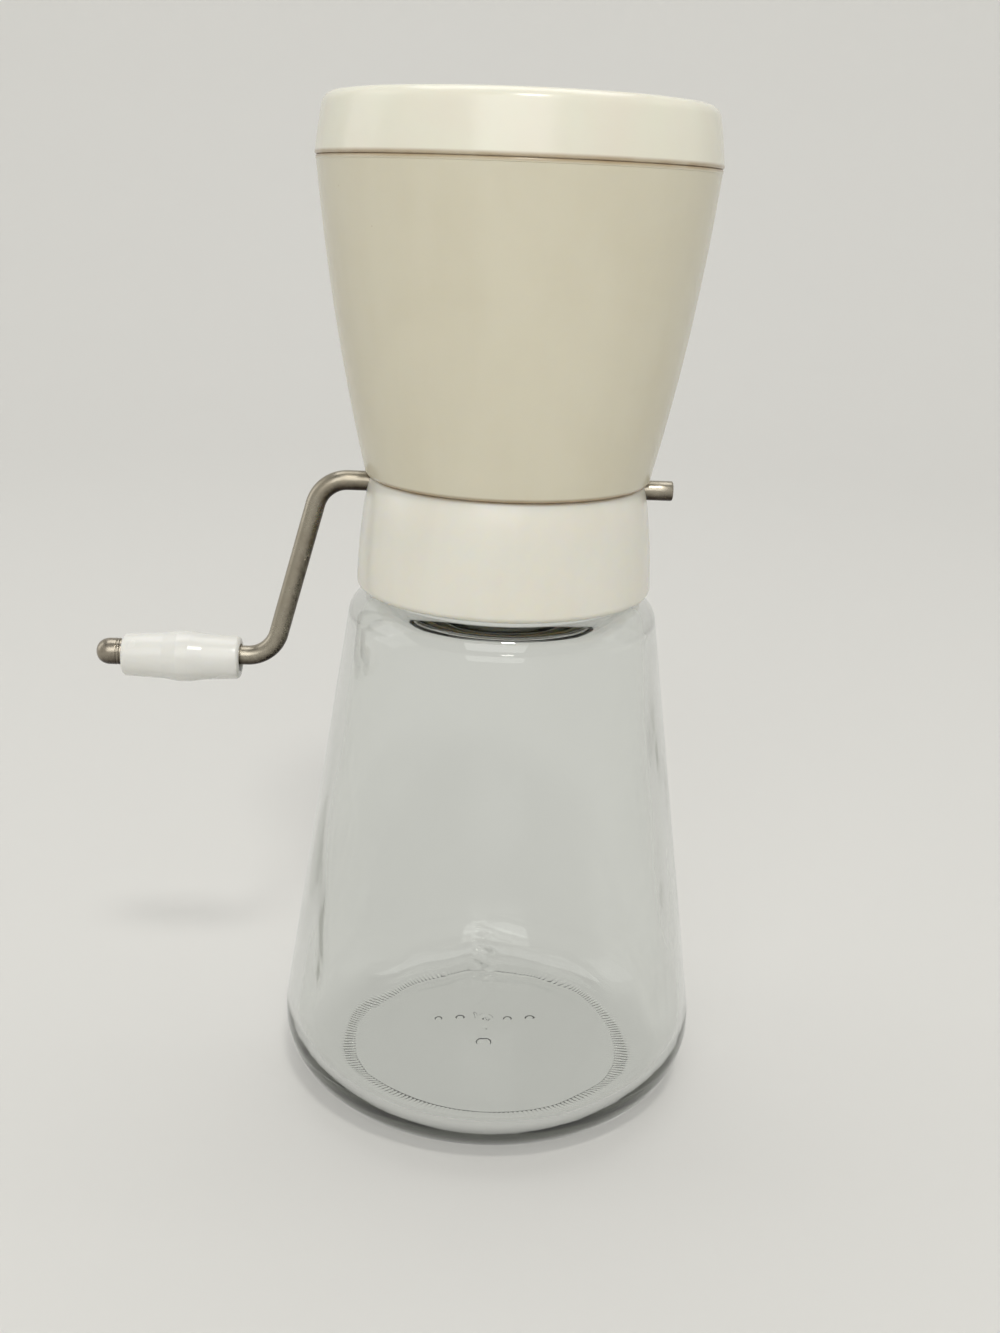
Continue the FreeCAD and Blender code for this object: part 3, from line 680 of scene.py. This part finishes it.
def notch_tool(radius: float, axis_z: float, open_z: float, length: float = 64.0) -> Mesh:
    """Make the tool for a round-ended notch that crosses a piece along X.

    Args:
        radius: half the notch's width.
        axis_z: height of the round end's axis.
        open_z: height that the notch opens to, above or below the axis.
        length: how far it reaches from -X to +X.

    Returns:
        The tool, a half-round bar with a block on its flat side.
    """
    mesh = bmesh.new()
    bmesh.ops.create_circle(mesh, segments=48, radius=radius, cap_ends=True)
    tip(mesh)
    near = radius * 0.02
    for vert in mesh.verts:
        if (vert.co.z > 0) == (open_z > axis_z) and abs(vert.co.z) > near:
            vert.co.z = open_z - axis_z
            vert.co.y = math.copysign(radius, vert.co.y) if abs(vert.co.y) > near else 0.0
    bmesh.ops.remove_doubles(mesh, verts=mesh.verts, dist=1e-4)
    shift(mesh, (-length / 2, 0, axis_z))
    grown = bmesh.ops.extrude_face_region(mesh, geom=mesh.faces[:])
    bmesh.ops.translate(mesh, verts=only(Vertex, grown["geom"]), vec=(length, 0, 0))
    face_outwards(mesh)
    return mesh


def turn_angle(place: Vector) -> float:
    """Give the angle of a place round the jar's axis, from 0 to a full turn."""
    return math.atan2(place.y, place.x) % FULL_TURN


@dataclass(frozen=True)
class Thread:
    """The jar's single-start screw thread."""

    pitch: float = 4.23
    depth: float = 1.0
    root_width: float = 2.2
    crest_width: float = 0.9
    run_in: float = 0.05

    def ridge(self, place: Vector, start: float) -> float:
        """Find how far the ridge stands out at one place of a wall.

        Args:
            place: the place.
            start: height of the ridge's middle at angle 0.

        Returns:
            The ridge's height in millimetres.
        """
        angle = turn_angle(place)
        off = abs(place.z - start - self.pitch * angle / FULL_TURN)
        slope = (self.root_width - self.crest_width) / 2
        rise = min(max((self.root_width / 2 - off) / slope, 0.0), 1.0)
        run = min(angle, FULL_TURN - angle) / self.run_in
        return self.depth * rise * min(run, 1.0)


# Pieces

@dataclass
class Part:
    """Pieces that stand for CAD nodes and ride on a CAD body."""

    body: str
    slot: str

    def pieces(self) -> Iterator[Made]:
        """Make each piece, with its finish and its CAD node; each kind of part has its own."""
        raise NotImplementedError

    def build(self) -> list[Piece]:
        """Make the pieces, dress them and put them in the frame.

        Returns:
            The finished pieces.
        """
        made = []
        for piece, finish, node in self.pieces():
            piece.data.materials.clear()
            piece.data.materials.append(finish.material())
            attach(piece, self.body)
            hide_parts(node)
            made.append(piece)
        return made


@dataclass
class GlassJar(Part):
    """The clear glass jar: tapered wall, knurled foot ring and threaded neck."""

    body: str = "jar"
    slot: str = "clear_glass"
    foot_radius: float = 44.8
    top_radius: float = 29.5
    shoulder_z: float = 103.2
    heel_rounding: float = 13.4
    shoulder_rounding: float = 4.4
    ring_radius: float = 27.5
    base_rise: float = 1.6
    floor_z: float = 4.6
    inner_foot_radius: float = 41.42
    inner_top_radius: float = 27.2
    inner_top_z: float = 100.5
    inner_shoulder_rounding: float = 4.0
    inner_heel_rounding: float = 9.5
    neck_radius: float = 24.9
    bore_radius: float = 21.9
    rim_z: float = 117.2
    lip_rounding: float = 0.9
    thread: Thread = Thread()
    thread_start: float = 108.215
    segments: int = 384
    rib_depth: float = 0.28
    ribs: int = 192
    rib_inner: float = 28.6
    rib_outer: float = 32.6
    wave_depth: float = 0.5
    wave_foot: float = 6.0
    wave_fades: tuple[float, float] = (14.0, 12.0)
    wave_reach: float = 0.6
    swell: Triple = (0.055, 0.055, 0.022)
    fold: Triple = (0.12, 0.12, 0.045)
    fold_shift: Triple = (5.0, 0.0, 0.0)
    fold_share: float = 0.4

    def outline(self) -> Outline:
        """Draw the jar's section from the middle of its base to the middle of its floor.

        Returns:
            The open outline.
        """
        bow = self.base_rise / 4
        return Outline([
            Corner(0.0, self.base_rise, bow=-bow, cuts=8),
            Corner(self.ring_radius, 0.0, cuts=7),
            Corner(self.foot_radius, 0.0, self.heel_rounding, cuts=26),
            Corner(self.top_radius, self.shoulder_z, self.shoulder_rounding, cuts=1),
            Corner(self.neck_radius, self.shoulder_z, cuts=34),
            Corner(self.neck_radius, self.rim_z, self.lip_rounding, cuts=1),
            Corner(self.bore_radius, self.rim_z, self.lip_rounding, cuts=5),
            Corner(self.bore_radius, self.inner_top_z, self.lip_rounding, cuts=2),
            Corner(self.inner_top_radius, self.inner_top_z, self.inner_shoulder_rounding, cuts=34),
            Corner(self.inner_foot_radius, self.floor_z, self.inner_heel_rounding, cuts=2),
            Corner(self.ring_radius, self.floor_z, bow=bow, cuts=8),
            Corner(0.0, self.floor_z + self.base_rise),
        ])

    def _knurl(self, mesh: Mesh) -> None:
        """Press fine radial ribs into the foot ring.

        Args:
            mesh: the jar.
        """
        def on_ring(vert: Vertex) -> bool:
            """Tell whether a point lies on the foot ring."""
            return abs(vert.co.z) < 0.02 and self.rib_inner < vert.co.xy.length < self.rib_outer

        around = [
            edge for edge in mesh.edges
            if all(on_ring(vert) for vert in edge.verts)
            and abs(edge.verts[0].co.xy.length - edge.verts[1].co.xy.length) < 0.01
        ]
        bmesh.ops.subdivide_edges(mesh, edges=around, cuts=1, use_grid_fill=True)
        for vert in mesh.verts:
            if on_ring(vert):
                vert.co.z = self.rib_depth * (0.5 - 0.5 * math.cos(self.ribs * turn_angle(vert.co)))

    def _unevenness(self, place: Vector) -> float:
        """Find how far the inner wall stands out of its cone.

        Args:
            place: the place, which may lie off the wall.

        Returns:
            The distance in millimetres, or 0 away from the waves.
        """
        lean = (self.inner_foot_radius - self.inner_top_radius) / (self.inner_top_z - self.floor_z)
        above = place.z - self.floor_z
        below = self.inner_top_z - self.inner_shoulder_rounding - place.z
        fade = min((above - self.wave_foot) / self.wave_fades[0], below / self.wave_fades[1], 1.0)
        if fade <= 0 or abs(place.xy.length - self.inner_foot_radius + lean * above) > self.wave_reach:
            return 0.0
        swell = noise.noise(place * Vector(self.swell))
        fold = noise.noise(place * Vector(self.fold) + Vector(self.fold_shift))
        return self.wave_depth * fade * (swell + self.fold_share * fold)

    def _wave(self, mesh: Mesh) -> None:
        """Give the inner wall its uneven thickness, and the neck its thread.

        Args:
            mesh: the jar.
        """
        for vert in mesh.verts:
            radius = vert.co.xy.length
            if self.shoulder_z + 0.2 < vert.co.z < self.rim_z and abs(radius - self.neck_radius) < 0.02:
                out = self.thread.ridge(vert.co, self.thread_start)
            else:
                out = self._unevenness(vert.co)
            if out:
                vert.co.xy *= (radius + out) / radius

    def pieces(self) -> Iterator[Made]:
        """Make the jar.

        Returns:
            The jar alone.
        """
        mesh = self.outline().turned(self.segments)
        self._wave(mesh)
        self._knurl(mesh)
        yield make_object(mesh, "glass_jar_body", 50.0), JAR_GLASS, "glass_jar"


@dataclass
class ScrewCollar(Part):
    """The ivory screw collar with its deck, the shaft's notches and its inner thread."""

    body: str = "collar"
    slot: str = "ivory_plastic"
    bore_radius: float = 26.2
    foot_radius: float = 28.66
    waist_radius: float = 27.34
    waist_z: float = 120.0
    top_radius: float = 26.05
    bottom_z: float = 104.4
    seam_z: float = 126.0
    deck_bottom_z: float = 118.0
    deck_top_z: float = 119.6
    cup_radius: float = 24.2
    shaft_z: float = 124.2
    notch_radius: float = 2.0
    window: tuple[float, float] = (15.5, 8.0)
    boss_radius: float = 2.6
    boss_bottom_z: float = 115.2
    boss_spots: tuple[float, float] = (11.0, 11.8)
    pilot_radius: float = 1.12
    thread: Thread = Thread()
    thread_start: float = 106.1

    def outline(self) -> Outline:
        """Draw the section of the collar's wall and deck, from the deck's middle."""
        return Outline([
            Corner(0.0, self.deck_bottom_z, cuts=2),
            Corner(self.bore_radius, self.deck_bottom_z, cuts=34),
            Corner(self.bore_radius, self.bottom_z, 0.3, cuts=1),
            Corner(self.foot_radius, self.bottom_z, 1.4, bow=0.21, cuts=12),
            Corner(self.waist_radius, self.waist_z, bow=0.11, cuts=6),
            Corner(self.top_radius, self.seam_z, 0.55, cuts=1),
            Corner(self.cup_radius, self.seam_z, 0.25, cuts=6),
            Corner(self.cup_radius, self.deck_top_z, cuts=3),
            Corner(0.0, self.deck_top_z),
        ])

    def _thread(self, mesh: Mesh) -> None:
        """Raise the thread's ridge on the bore.

        Args:
            mesh: the collar.
        """
        for vert in mesh.verts:
            radius = vert.co.xy.length
            if abs(radius - self.bore_radius) < 0.02 and self.bottom_z + 0.35 < vert.co.z < self.deck_bottom_z:
                vert.co.xy *= (radius - self.thread.ridge(vert.co, self.thread_start)) / radius

    def _pilot(self) -> Mesh:
        """Make the tool for a comb screw's hole, on the axis.

        Returns:
            The tool.
        """
        mesh = bmesh.new()
        height = self.deck_top_z - self.boss_bottom_z + 2
        bmesh.ops.create_cone(mesh, cap_ends=True, segments=28, radius1=self.pilot_radius,
                              radius2=self.pilot_radius, depth=height)
        shift(mesh, (0, 0, self.boss_bottom_z - 1 + height / 2))
        return mesh

    def _boss(self) -> Mesh:
        """Turn the boss under a comb screw, on the axis."""
        return Outline([
            Corner(0.0, self.boss_bottom_z),
            Corner(self.boss_radius, self.boss_bottom_z, 0.4),
            Corner(self.boss_radius, self.deck_bottom_z + 0.5),
            Corner(0.0, self.deck_bottom_z + 0.5),
        ]).turned(32)

    def pieces(self) -> Iterator[Made]:
        """Make the collar.

        Returns:
            The collar alone.
        """
        mesh = self.outline().turned()
        self._thread(mesh)
        piece = make_object(mesh, "screw_collar_shell")
        across, depth = self.boss_spots
        spots = [(x, y, 0) for x in (-across, across) for y in (-depth, depth)]
        bosses, pilots = [self._boss() for _ in spots], [self._pilot() for _ in spots]
        for mesh, spot in zip(bosses + pilots, spots + spots):
            shift(mesh, spot)
        window = block(self.window, self.boss_bottom_z - 1, self.deck_top_z + 1)
        carve(piece, bosses, pilots + [window, notch_tool(self.notch_radius, self.shaft_z, self.seam_z + 1)])
        yield piece, COLLAR_PLASTIC, "screw_collar"


@dataclass
class Hopper(Part):
    """The tapered beige hopper with its funnel floor, spigot and neck ring."""

    body: str = "hopper"
    slot: str = "beige_plastic"
    seam_z: float = 126.0
    rim_z: float = 183.0
    foot_radius: float = 27.08
    rim_radius: float = 36.4
    side_bow: float = 0.96
    lip: float = 0.1
    lip_height: float = 0.7
    spigot_radius: float = 23.9
    spigot_inner_radius: float = 22.1
    spigot_bottom_z: float = 121.2
    cone_foot_radius: float = 11.9
    cone_radius: float = 27.2
    cone_top_z: float = 138.0
    floor_under_z: float = 127.0
    floor_z: float = 129.0
    ring_radius: float = 34.95
    ring_top_radius: float = 34.04
    ring_inner_radius: float = 32.84
    ring_top_z: float = 189.6
    throat: tuple[float, float] = (15.5, 9.5)
    shaft_z: float = 124.2
    notch_radius: float = 2.1

    def outline(self) -> Outline:
        """Draw the hopper's section, from the middle of its floor's underside.

        Returns:
            The open outline.
        """
        slope = (self.cone_top_z - self.floor_z) / (self.cone_radius - self.cone_foot_radius)
        cone_under_z = self.floor_under_z + slope * (self.spigot_inner_radius - self.cone_foot_radius)
        lip_radius = self.rim_radius + self.lip
        return Outline([
            Corner(0.0, self.floor_under_z, cuts=1),
            Corner(self.cone_foot_radius, self.floor_under_z, 1.0, cuts=3),
            Corner(self.spigot_inner_radius, cone_under_z, 0.8, cuts=3),
            Corner(self.spigot_inner_radius, self.spigot_bottom_z, 0.3),
            Corner(self.spigot_radius, self.spigot_bottom_z, 0.4, cuts=2),
            Corner(self.spigot_radius, self.seam_z),
            Corner(self.foot_radius, self.seam_z, 1.3, bow=self.side_bow, cuts=24),
            Corner(self.rim_radius, self.rim_z - self.lip_height - self.lip),
            Corner(lip_radius, self.rim_z - self.lip_height, 0.1),
            Corner(lip_radius, self.rim_z, 0.4),
            Corner(self.ring_radius, self.rim_z, cuts=2),
            Corner(self.ring_top_radius, self.ring_top_z, 0.4),
            Corner(self.ring_inner_radius, self.ring_top_z, 0.4, cuts=3),
            Corner(self.ring_inner_radius, self.rim_z, 1.0, bow=-0.65, cuts=20),
            Corner(self.cone_radius, self.cone_top_z, 2.5, cuts=6),
            Corner(self.cone_foot_radius, self.floor_z, 2.0, cuts=1),
            Corner(0.0, self.floor_z),
        ])

    def pieces(self) -> Iterator[Made]:
        """Make the hopper.

        Returns:
            The hopper alone.
        """
        piece = make_object(self.outline().turned(), "hopper_shell")
        throat = block(self.throat, self.floor_under_z - 1, self.cone_top_z)
        carve(piece, [], [throat, notch_tool(self.notch_radius, self.shaft_z, self.spigot_bottom_z - 1)])
        yield piece, HOPPER_PLASTIC, "hopper"


@dataclass
class Lid(Part):
    """The ivory push-on lid."""

    body: str = "lid"
    slot: str = "ivory_plastic"
    rim_z: float = 183.0
    top_z: float = 194.1
    crown: float = 0.6
    foot_radius: float = 36.7
    top_radius: float = 35.15
    corner: float = 2.3
    edge: float = 0.35
    side_bow: float = 0.08
    inside_radius: float = 35.25
    inside_top_radius: float = 34.05
    ceiling_z: float = 191.7

    def outline(self) -> Outline:
        """Draw the lid's section, from the middle of its ceiling."""
        return Outline([
            Corner(0.0, self.ceiling_z, cuts=4),
            Corner(self.inside_top_radius, self.ceiling_z, 0.3, cuts=3),
            Corner(self.inside_radius, self.rim_z, 0.2),
            Corner(self.foot_radius, self.rim_z, self.edge, bow=self.side_bow, cuts=10),
            Corner(self.top_radius, self.top_z - self.crown, self.corner, bow=self.crown / 4, cuts=12),
            Corner(0.0, self.top_z),
        ])

    def pieces(self) -> Iterator[Made]:
        """Make the lid alone."""
        yield make_object(self.outline().turned(), "lid_shell"), LID_PLASTIC, "lid"


def sweep_rod(radius: float, start_x: float, moves: Iterable[dict[str, Any]], chamfer: float) -> Mesh:
    """Sweep a round rod in the XZ plane, towards -X.

    Args:
        radius: the rod's radius in millimetres.
        start_x: where it starts along X.
        moves: what the spin operator takes for each straight or bend, but for the axis.
        chamfer: width of the chamfer on both ends.

    Returns:
        The closed rod.
    """
    mesh = bmesh.new()
    bmesh.ops.create_circle(mesh, segments=48, radius=radius, cap_ends=True)
    tip(mesh, -math.pi / 2)
    shift(mesh, (start_x, 0, 0))
    start = end = mesh.faces[:]
    for move in moves:
        made = bmesh.ops.spin(mesh, geom=end, axis=(0, 1, 0), **move)
        if end is not start:
            bmesh.ops.delete(mesh, geom=end, context="FACES_ONLY")
        end = only(bmesh.types.BMFace, made["geom_last"])
    rims = [edge for edge in mesh.edges if any(face in start + end for face in edge.link_faces)]
    bmesh.ops.bevel(mesh, geom=rims, offset=chamfer, segments=2, profile=0.5, affect="EDGES", material=-1)
    face_outwards(mesh)
    return mesh


@dataclass
class Crank(Part):
    """The bent nickel rod with its washer and its domed cap nut."""

    body: str = "crank"
    slot: str = "nickel_plate"
    rod_radius: float = 1.9
    rod_chamfer: float = 0.3
    shaft_z: float = 124.2
    right_x: float = 31.9
    reach: float = 35.4
    lean: float = 9.9
    drop: float = 35.8
    bend_radius: float = 6.5
    left_x: float = -78.94
    nut_x: float = -75.24
    nut_length: float = 4.8
    nut_radius: float = 2.62
    nut_ring: float = 0.45
    nut_groove: float = 0.15
    nut_edge: float = 0.12
    barrel: float = 2.2
    dome_bow: float = 0.765
    bore_depth: float = 3.7
    washer_radius: float = 2.52
    washer_thickness: float = 0.5
    # The side that gets painted shade: down and a little towards +X.
    shade_side: Triple = (0.25, 0.0, -1.0)

    def _rod(self) -> Mesh:
        """Sweep the rod from its right end, round both bends, to its left end.

        Returns:
            The rod.
        """
        turn = math.atan2(self.drop, self.lean)
        tangent = self.bend_radius * math.tan(turn / 2)
        arm = math.hypot(self.lean, self.drop) - 2 * tangent
        left_bend_x = -(self.reach + self.lean) - tangent
        straight, bend = {"cent": (0, 0, 0), "angle": 0.0}, {"steps": 20}
        mesh = sweep_rod(self.rod_radius, self.right_x, (
            straight | {"dvec": Vector((-(self.right_x + self.reach - tangent), 0, 0)) / 24, "steps": 24},
            bend | {"cent": (-self.reach + tangent, 0, -self.bend_radius), "angle": -turn},
            straight | {"dvec": Vector((-math.cos(turn), 0, -math.sin(turn))) * arm / 12, "steps": 12},
            bend | {"cent": (left_bend_x, 0, -self.drop + self.bend_radius), "angle": turn},
            straight | {"dvec": Vector((self.left_x - left_bend_x, 0, 0)) / 8, "steps": 8},
        ), self.rod_chamfer)
        shift(mesh, (0, 0, self.shaft_z))
        return mesh

    def _nut(self) -> Mesh:
        """Turn the cap nut: a ring, a groove, a barrel and a dome.

        Returns:
            The nut.
        """
        radius, edge = self.nut_radius, self.nut_edge
        groove_radius, groove_end = radius - self.nut_groove, self.nut_ring + self.nut_groove
        mesh = Outline([
            Corner(0.0, self.bore_depth),
            Corner(self.rod_radius, self.bore_depth),
            Corner(self.rod_radius, 0.0),
            Corner(radius, 0.0, edge),
            Corner(radius, self.nut_ring, edge),
            Corner(groove_radius, self.nut_ring),
            Corner(groove_radius, groove_end),
            Corner(radius, groove_end, edge, cuts=2),
            Corner(radius, self.barrel, bow=self.dome_bow, cuts=18),
            Corner(0.0, self.nut_length),
        ]).turned(64)
        bmesh.ops.scale(mesh, verts=mesh.verts, vec=(1, 1, -1))
        bmesh.ops.reverse_faces(mesh, faces=mesh.faces)
        return mesh

    def _washer(self) -> Mesh:
        """Turn the thin washer between the grip and the nut."""
        return Outline([
            Corner(self.rod_radius, 0.0),
            Corner(self.washer_radius, 0.0, 0.1),
            Corner(self.washer_radius, self.washer_thickness, 0.1),
            Corner(self.rod_radius, self.washer_thickness),
        ], closed=True).turned(64)

    def _paint_underside_shade(self, mesh: Mesh) -> None:
        """Write how much painted shade each point gets, from 0 on top to 1 underneath, standing in for dark
        reflections.

        Args:
            mesh: the piece.
        """
        layer = mesh.verts.layers.float.new(SHADE_LAYER)
        side = Vector(self.shade_side).normalized()
        mesh.normal_update()
        for vert in mesh.verts:
            vert[layer] = 0.5 + 0.5 * vert.normal.dot(side)

    def pieces(self) -> Iterator[Made]:
        """Make the rod, the washer and the nut.

        Returns:
            The three pieces.
        """
        rod, washer, nut = self._rod(), self._washer(), self._nut()
        for mesh in (washer, nut):
            tip(mesh)
            shift(mesh, (self.nut_x, 0, self.shaft_z - self.drop))
        for mesh, name, finish, node in (
            (rod, "crank_rod_wire", ROD_NICKEL, "crank_rod"),
            (washer, "grip_washer_disc", NUT_NICKEL, "grip_washer"),
            (nut, "cap_nut_dome", NUT_NICKEL, "cap_nut"),
        ):
            # Mark the painted underside shade on each piece.
            self._paint_underside_shade(mesh)
            yield make_object(mesh, name, 30.0), finish, node


@dataclass
class CrankGrip(Part):
    """The white grip, swelling to a soft belt round its middle."""

    body: str = "grip"
    slot: str = "white_plastic"
    left_x: float = -74.64
    length: float = 23.1
    axis_z: float = 87.85
    bore: float = 2.5
    end_radius: float = 4.2
    swell_radius: float = 4.58
    belt_radius: float = 5.02
    belt_crest: float = 2.4
    belt_slope: float = 2.7
    belt_offset: float = 0.5
    mouth_radius: float = 2.8
    mouth_depth: float = 0.5

    def pieces(self) -> Iterator[Made]:
        """Make the grip.

        Returns:
            The grip alone.
        """
        middle = self.length / 2 + self.belt_offset
        start, end = middle - self.belt_crest / 2, middle + self.belt_crest / 2
        mesh = Outline([
            Corner(self.bore, 0.0),
            Corner(self.end_radius, 0.0, 0.75, cuts=6),
            Corner(self.swell_radius, start - self.belt_slope, 2.5),
            Corner(self.belt_radius, start, 1.2),
            Corner(self.belt_radius, end, 1.2),
            Corner(self.swell_radius, end + self.belt_slope, 2.5, cuts=6),
            Corner(self.end_radius, self.length, 0.8),
            Corner(self.mouth_radius, self.length, 0.2),
            Corner(self.mouth_radius, self.length - self.mouth_depth),
            Corner(self.bore, self.length - self.mouth_depth, cuts=4),
        ], closed=True).turned(96)
        tip(mesh)
        shift(mesh, (self.left_x, 0, self.axis_z))
        yield make_object(mesh, "crank_grip_sleeve", 30.0), GRIP_PLASTIC, "crank_grip"


@dataclass
class CuttingWorks:
    """The blades, spacers, combs, screws and gasket inside, which keep their CAD shapes.

    Attributes:
        finishes: what the names of a finish's nodes start with; the first that fits counts.
    """

    finishes: tuple[tuple[Finish, tuple[str, ...]], ...] = (
        (TURNED_STEEL, ("coarse_comb_screws", "fine_comb_screws", "rotor_spacer", "end_spacer", "retaining_ring")),
        (STAMPED_STEEL, ("rotor_blade", "coarse_comb", "fine_comb")),
        (GASKET_RUBBER, ("jar_gasket",)),
    )

    def build(self) -> list[Piece]:
        """Dress the CAD nodes.

        Returns:
            The dressed nodes.
        """
        left = dict(sorted(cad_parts.items()))
        dressed = []
        for finish, starts in self.finishes:
            material = finish.material()
            for node in [left.pop(name) for name in list(left) if name.startswith(starts)]:
                for slot in node.material_slots:
                    slot.material = material
                dressed.append(node)
        return dressed


# Studio

@dataclass(frozen=True)
class Lamp:
    """A soft rectangular light, with its power in watts, that faces its target."""

    name: str
    place: Triple
    size: tuple[float, float]
    power: float
    target: Triple = (0.0, 0.0, 110.0)
    colour: Triple = (1.0, 1.0, 1.0)

    def add(self) -> None:
        """Add the light to the scene."""
        data = bpy.data.lights.new(self.name, "AREA")
        data.shape = "RECTANGLE"
        data.size, data.size_y = (side * MM for side in self.size)
        data.energy = self.power
        data.color = self.colour
        lamp = stand(self.name, data)
        lamp.location = Vector(self.place) * MM
        way = (Vector(self.target) - Vector(self.place)).normalized()
        lamp.rotation_euler = way.to_track_quat("-Z", "Y").to_euler()


LAMPS = (
    Lamp("key", (60.0, -560.0, 900.0), (125.0, 110.0), 3.2, colour=(1.0, 0.985, 0.955)),
    Lamp("front_fill", (-100.0, -1050.0, 700.0), (900.0, 700.0), 4.2),
    Lamp("left_fill", (-950.0, 150.0, 500.0), (500.0, 900.0), 1.2),
    Lamp("right_fill", (950.0, 200.0, 450.0), (500.0, 900.0), 0.45),
    Lamp("top", (0.0, 450.0, 1350.0), (1200.0, 900.0), 7.6, target=(0.0, 700.0, 100.0)),
)


@dataclass
class Studio:
    """A pale rounded set, soft lights and the camera.

    Attributes:
        roll: how far the camera leans, in degrees.
        evenness: how far the set looks its plain colour, where 1 would lose the shadows.
        clearness: the same for what is seen in the metal and through the glass.
    """

    camera_place: Triple = (-7.03, -279.47, 176.26)
    look: Triple = (0.0240, 0.9527, -0.3020)
    roll: float = 2.23
    lens: float = 39.65
    sensor: float = 36.0
    floor_radius: float = 800.0
    wall_radius: float = 1300.0
    wall_height: float = 1500.0
    floor_gap: float = 0.1
    set_colour: Colour = tone(216, 215, 211)
    room_colour: Colour = tone(214, 213, 209)
    room_light: float = 0.42
    evenness: float = 0.35
    clearness: float = 0.75
    bounces: int = 28

    def _set(self) -> None:
        """Make the floor that curves up into a wall all round."""
        mesh = Outline([
            Corner(0.0, -self.floor_gap, cuts=6),
            Corner(self.wall_radius, -self.floor_gap, self.wall_radius - self.floor_radius, cuts=2),
            Corner(self.wall_radius, self.wall_height),
        ]).turned(96)
        bmesh.ops.reverse_faces(mesh, faces=mesh.faces)
        piece = make_object(mesh, "studio_set", 80.0)
        paint = Paint("studio_paint")
        paint.set(Base_Color=self.set_colour, Roughness=0.8, Specular_IOR_Level=0.1)
        glossy, through, camera = (
            paint.wire("ShaderNodeLightPath", {}, {}, f"Is {kind} Ray")
            for kind in ("Glossy", "Transmission", "Camera"))
        seen = (glossy.either(through) * self.clearness).either(camera * self.evenness)
        pale = paint.add("ShaderNodeEmission", {}, {"Color": self.set_colour, "Strength": 1.0})
        both = paint.add("ShaderNodeMixShader", {}, {0: seen, 1: paint.shader.outputs[0], 2: pale.outputs[0]})
        paint.feed(paint.output.inputs["Surface"], both.outputs[0])
        piece.data.materials.append(paint.material)

    def _camera(self) -> None:
        """Add the camera at the photograph's angle."""
        ahead = Vector(self.look).normalized()
        right = ahead.cross(Vector((0, 0, 1))).normalized()
        data = bpy.data.cameras.new("camera")
        data.lens = self.lens
        data.sensor_width = self.sensor
        camera = stand("camera", data)
        level = Matrix((right, right.cross(ahead), -ahead)).transposed()
        turn = level @ Matrix.Rotation(math.radians(self.roll), 3, "Z")
        camera.matrix_world = Matrix.Translation(Vector(self.camera_place) * MM) @ turn.to_4x4()
        bpy.context.scene.camera = camera

    def _world(self) -> None:
        """Give the room above the set a soft pale light."""
        world = bpy.data.worlds.new("room")
        world.use_nodes = True
        background = world.node_tree.nodes["Background"]
        background.inputs["Color"].default_value = self.room_colour
        background.inputs["Strength"].default_value = self.room_light
        bpy.context.scene.world = world

    def build(self) -> None:
        """Set up the whole studio."""
        self._set()
        self._world()
        for lamp in LAMPS:
            lamp.add()
        self._camera()
        scene = bpy.context.scene
        scene.view_settings.view_transform = "Standard"
        scene.cycles.max_bounces = scene.cycles.transmission_bounces = self.bounces
        scene.cycles.glossy_bounces = self.bounces // 2


def main() -> None:
    """Build the grinder and its studio, and log each piece."""
    logging.basicConfig(level=logging.INFO, format="%(name)s: %(message)s")
    for part in (GlassJar(), ScrewCollar(), Hopper(), Lid(), Crank(), CrankGrip(), CuttingWorks()):
        for piece in part.build():
            low, high = (Vector(corner) for corner in (piece.bound_box[0], piece.bound_box[6]))
            size = (high - low) / MM
            LOG.info("%s: %d faces, %.1f x %.1f x %.1f mm", piece.name, len(piece.data.polygons), *size)
    Studio().build()


if __name__ == "__main__":
    main()
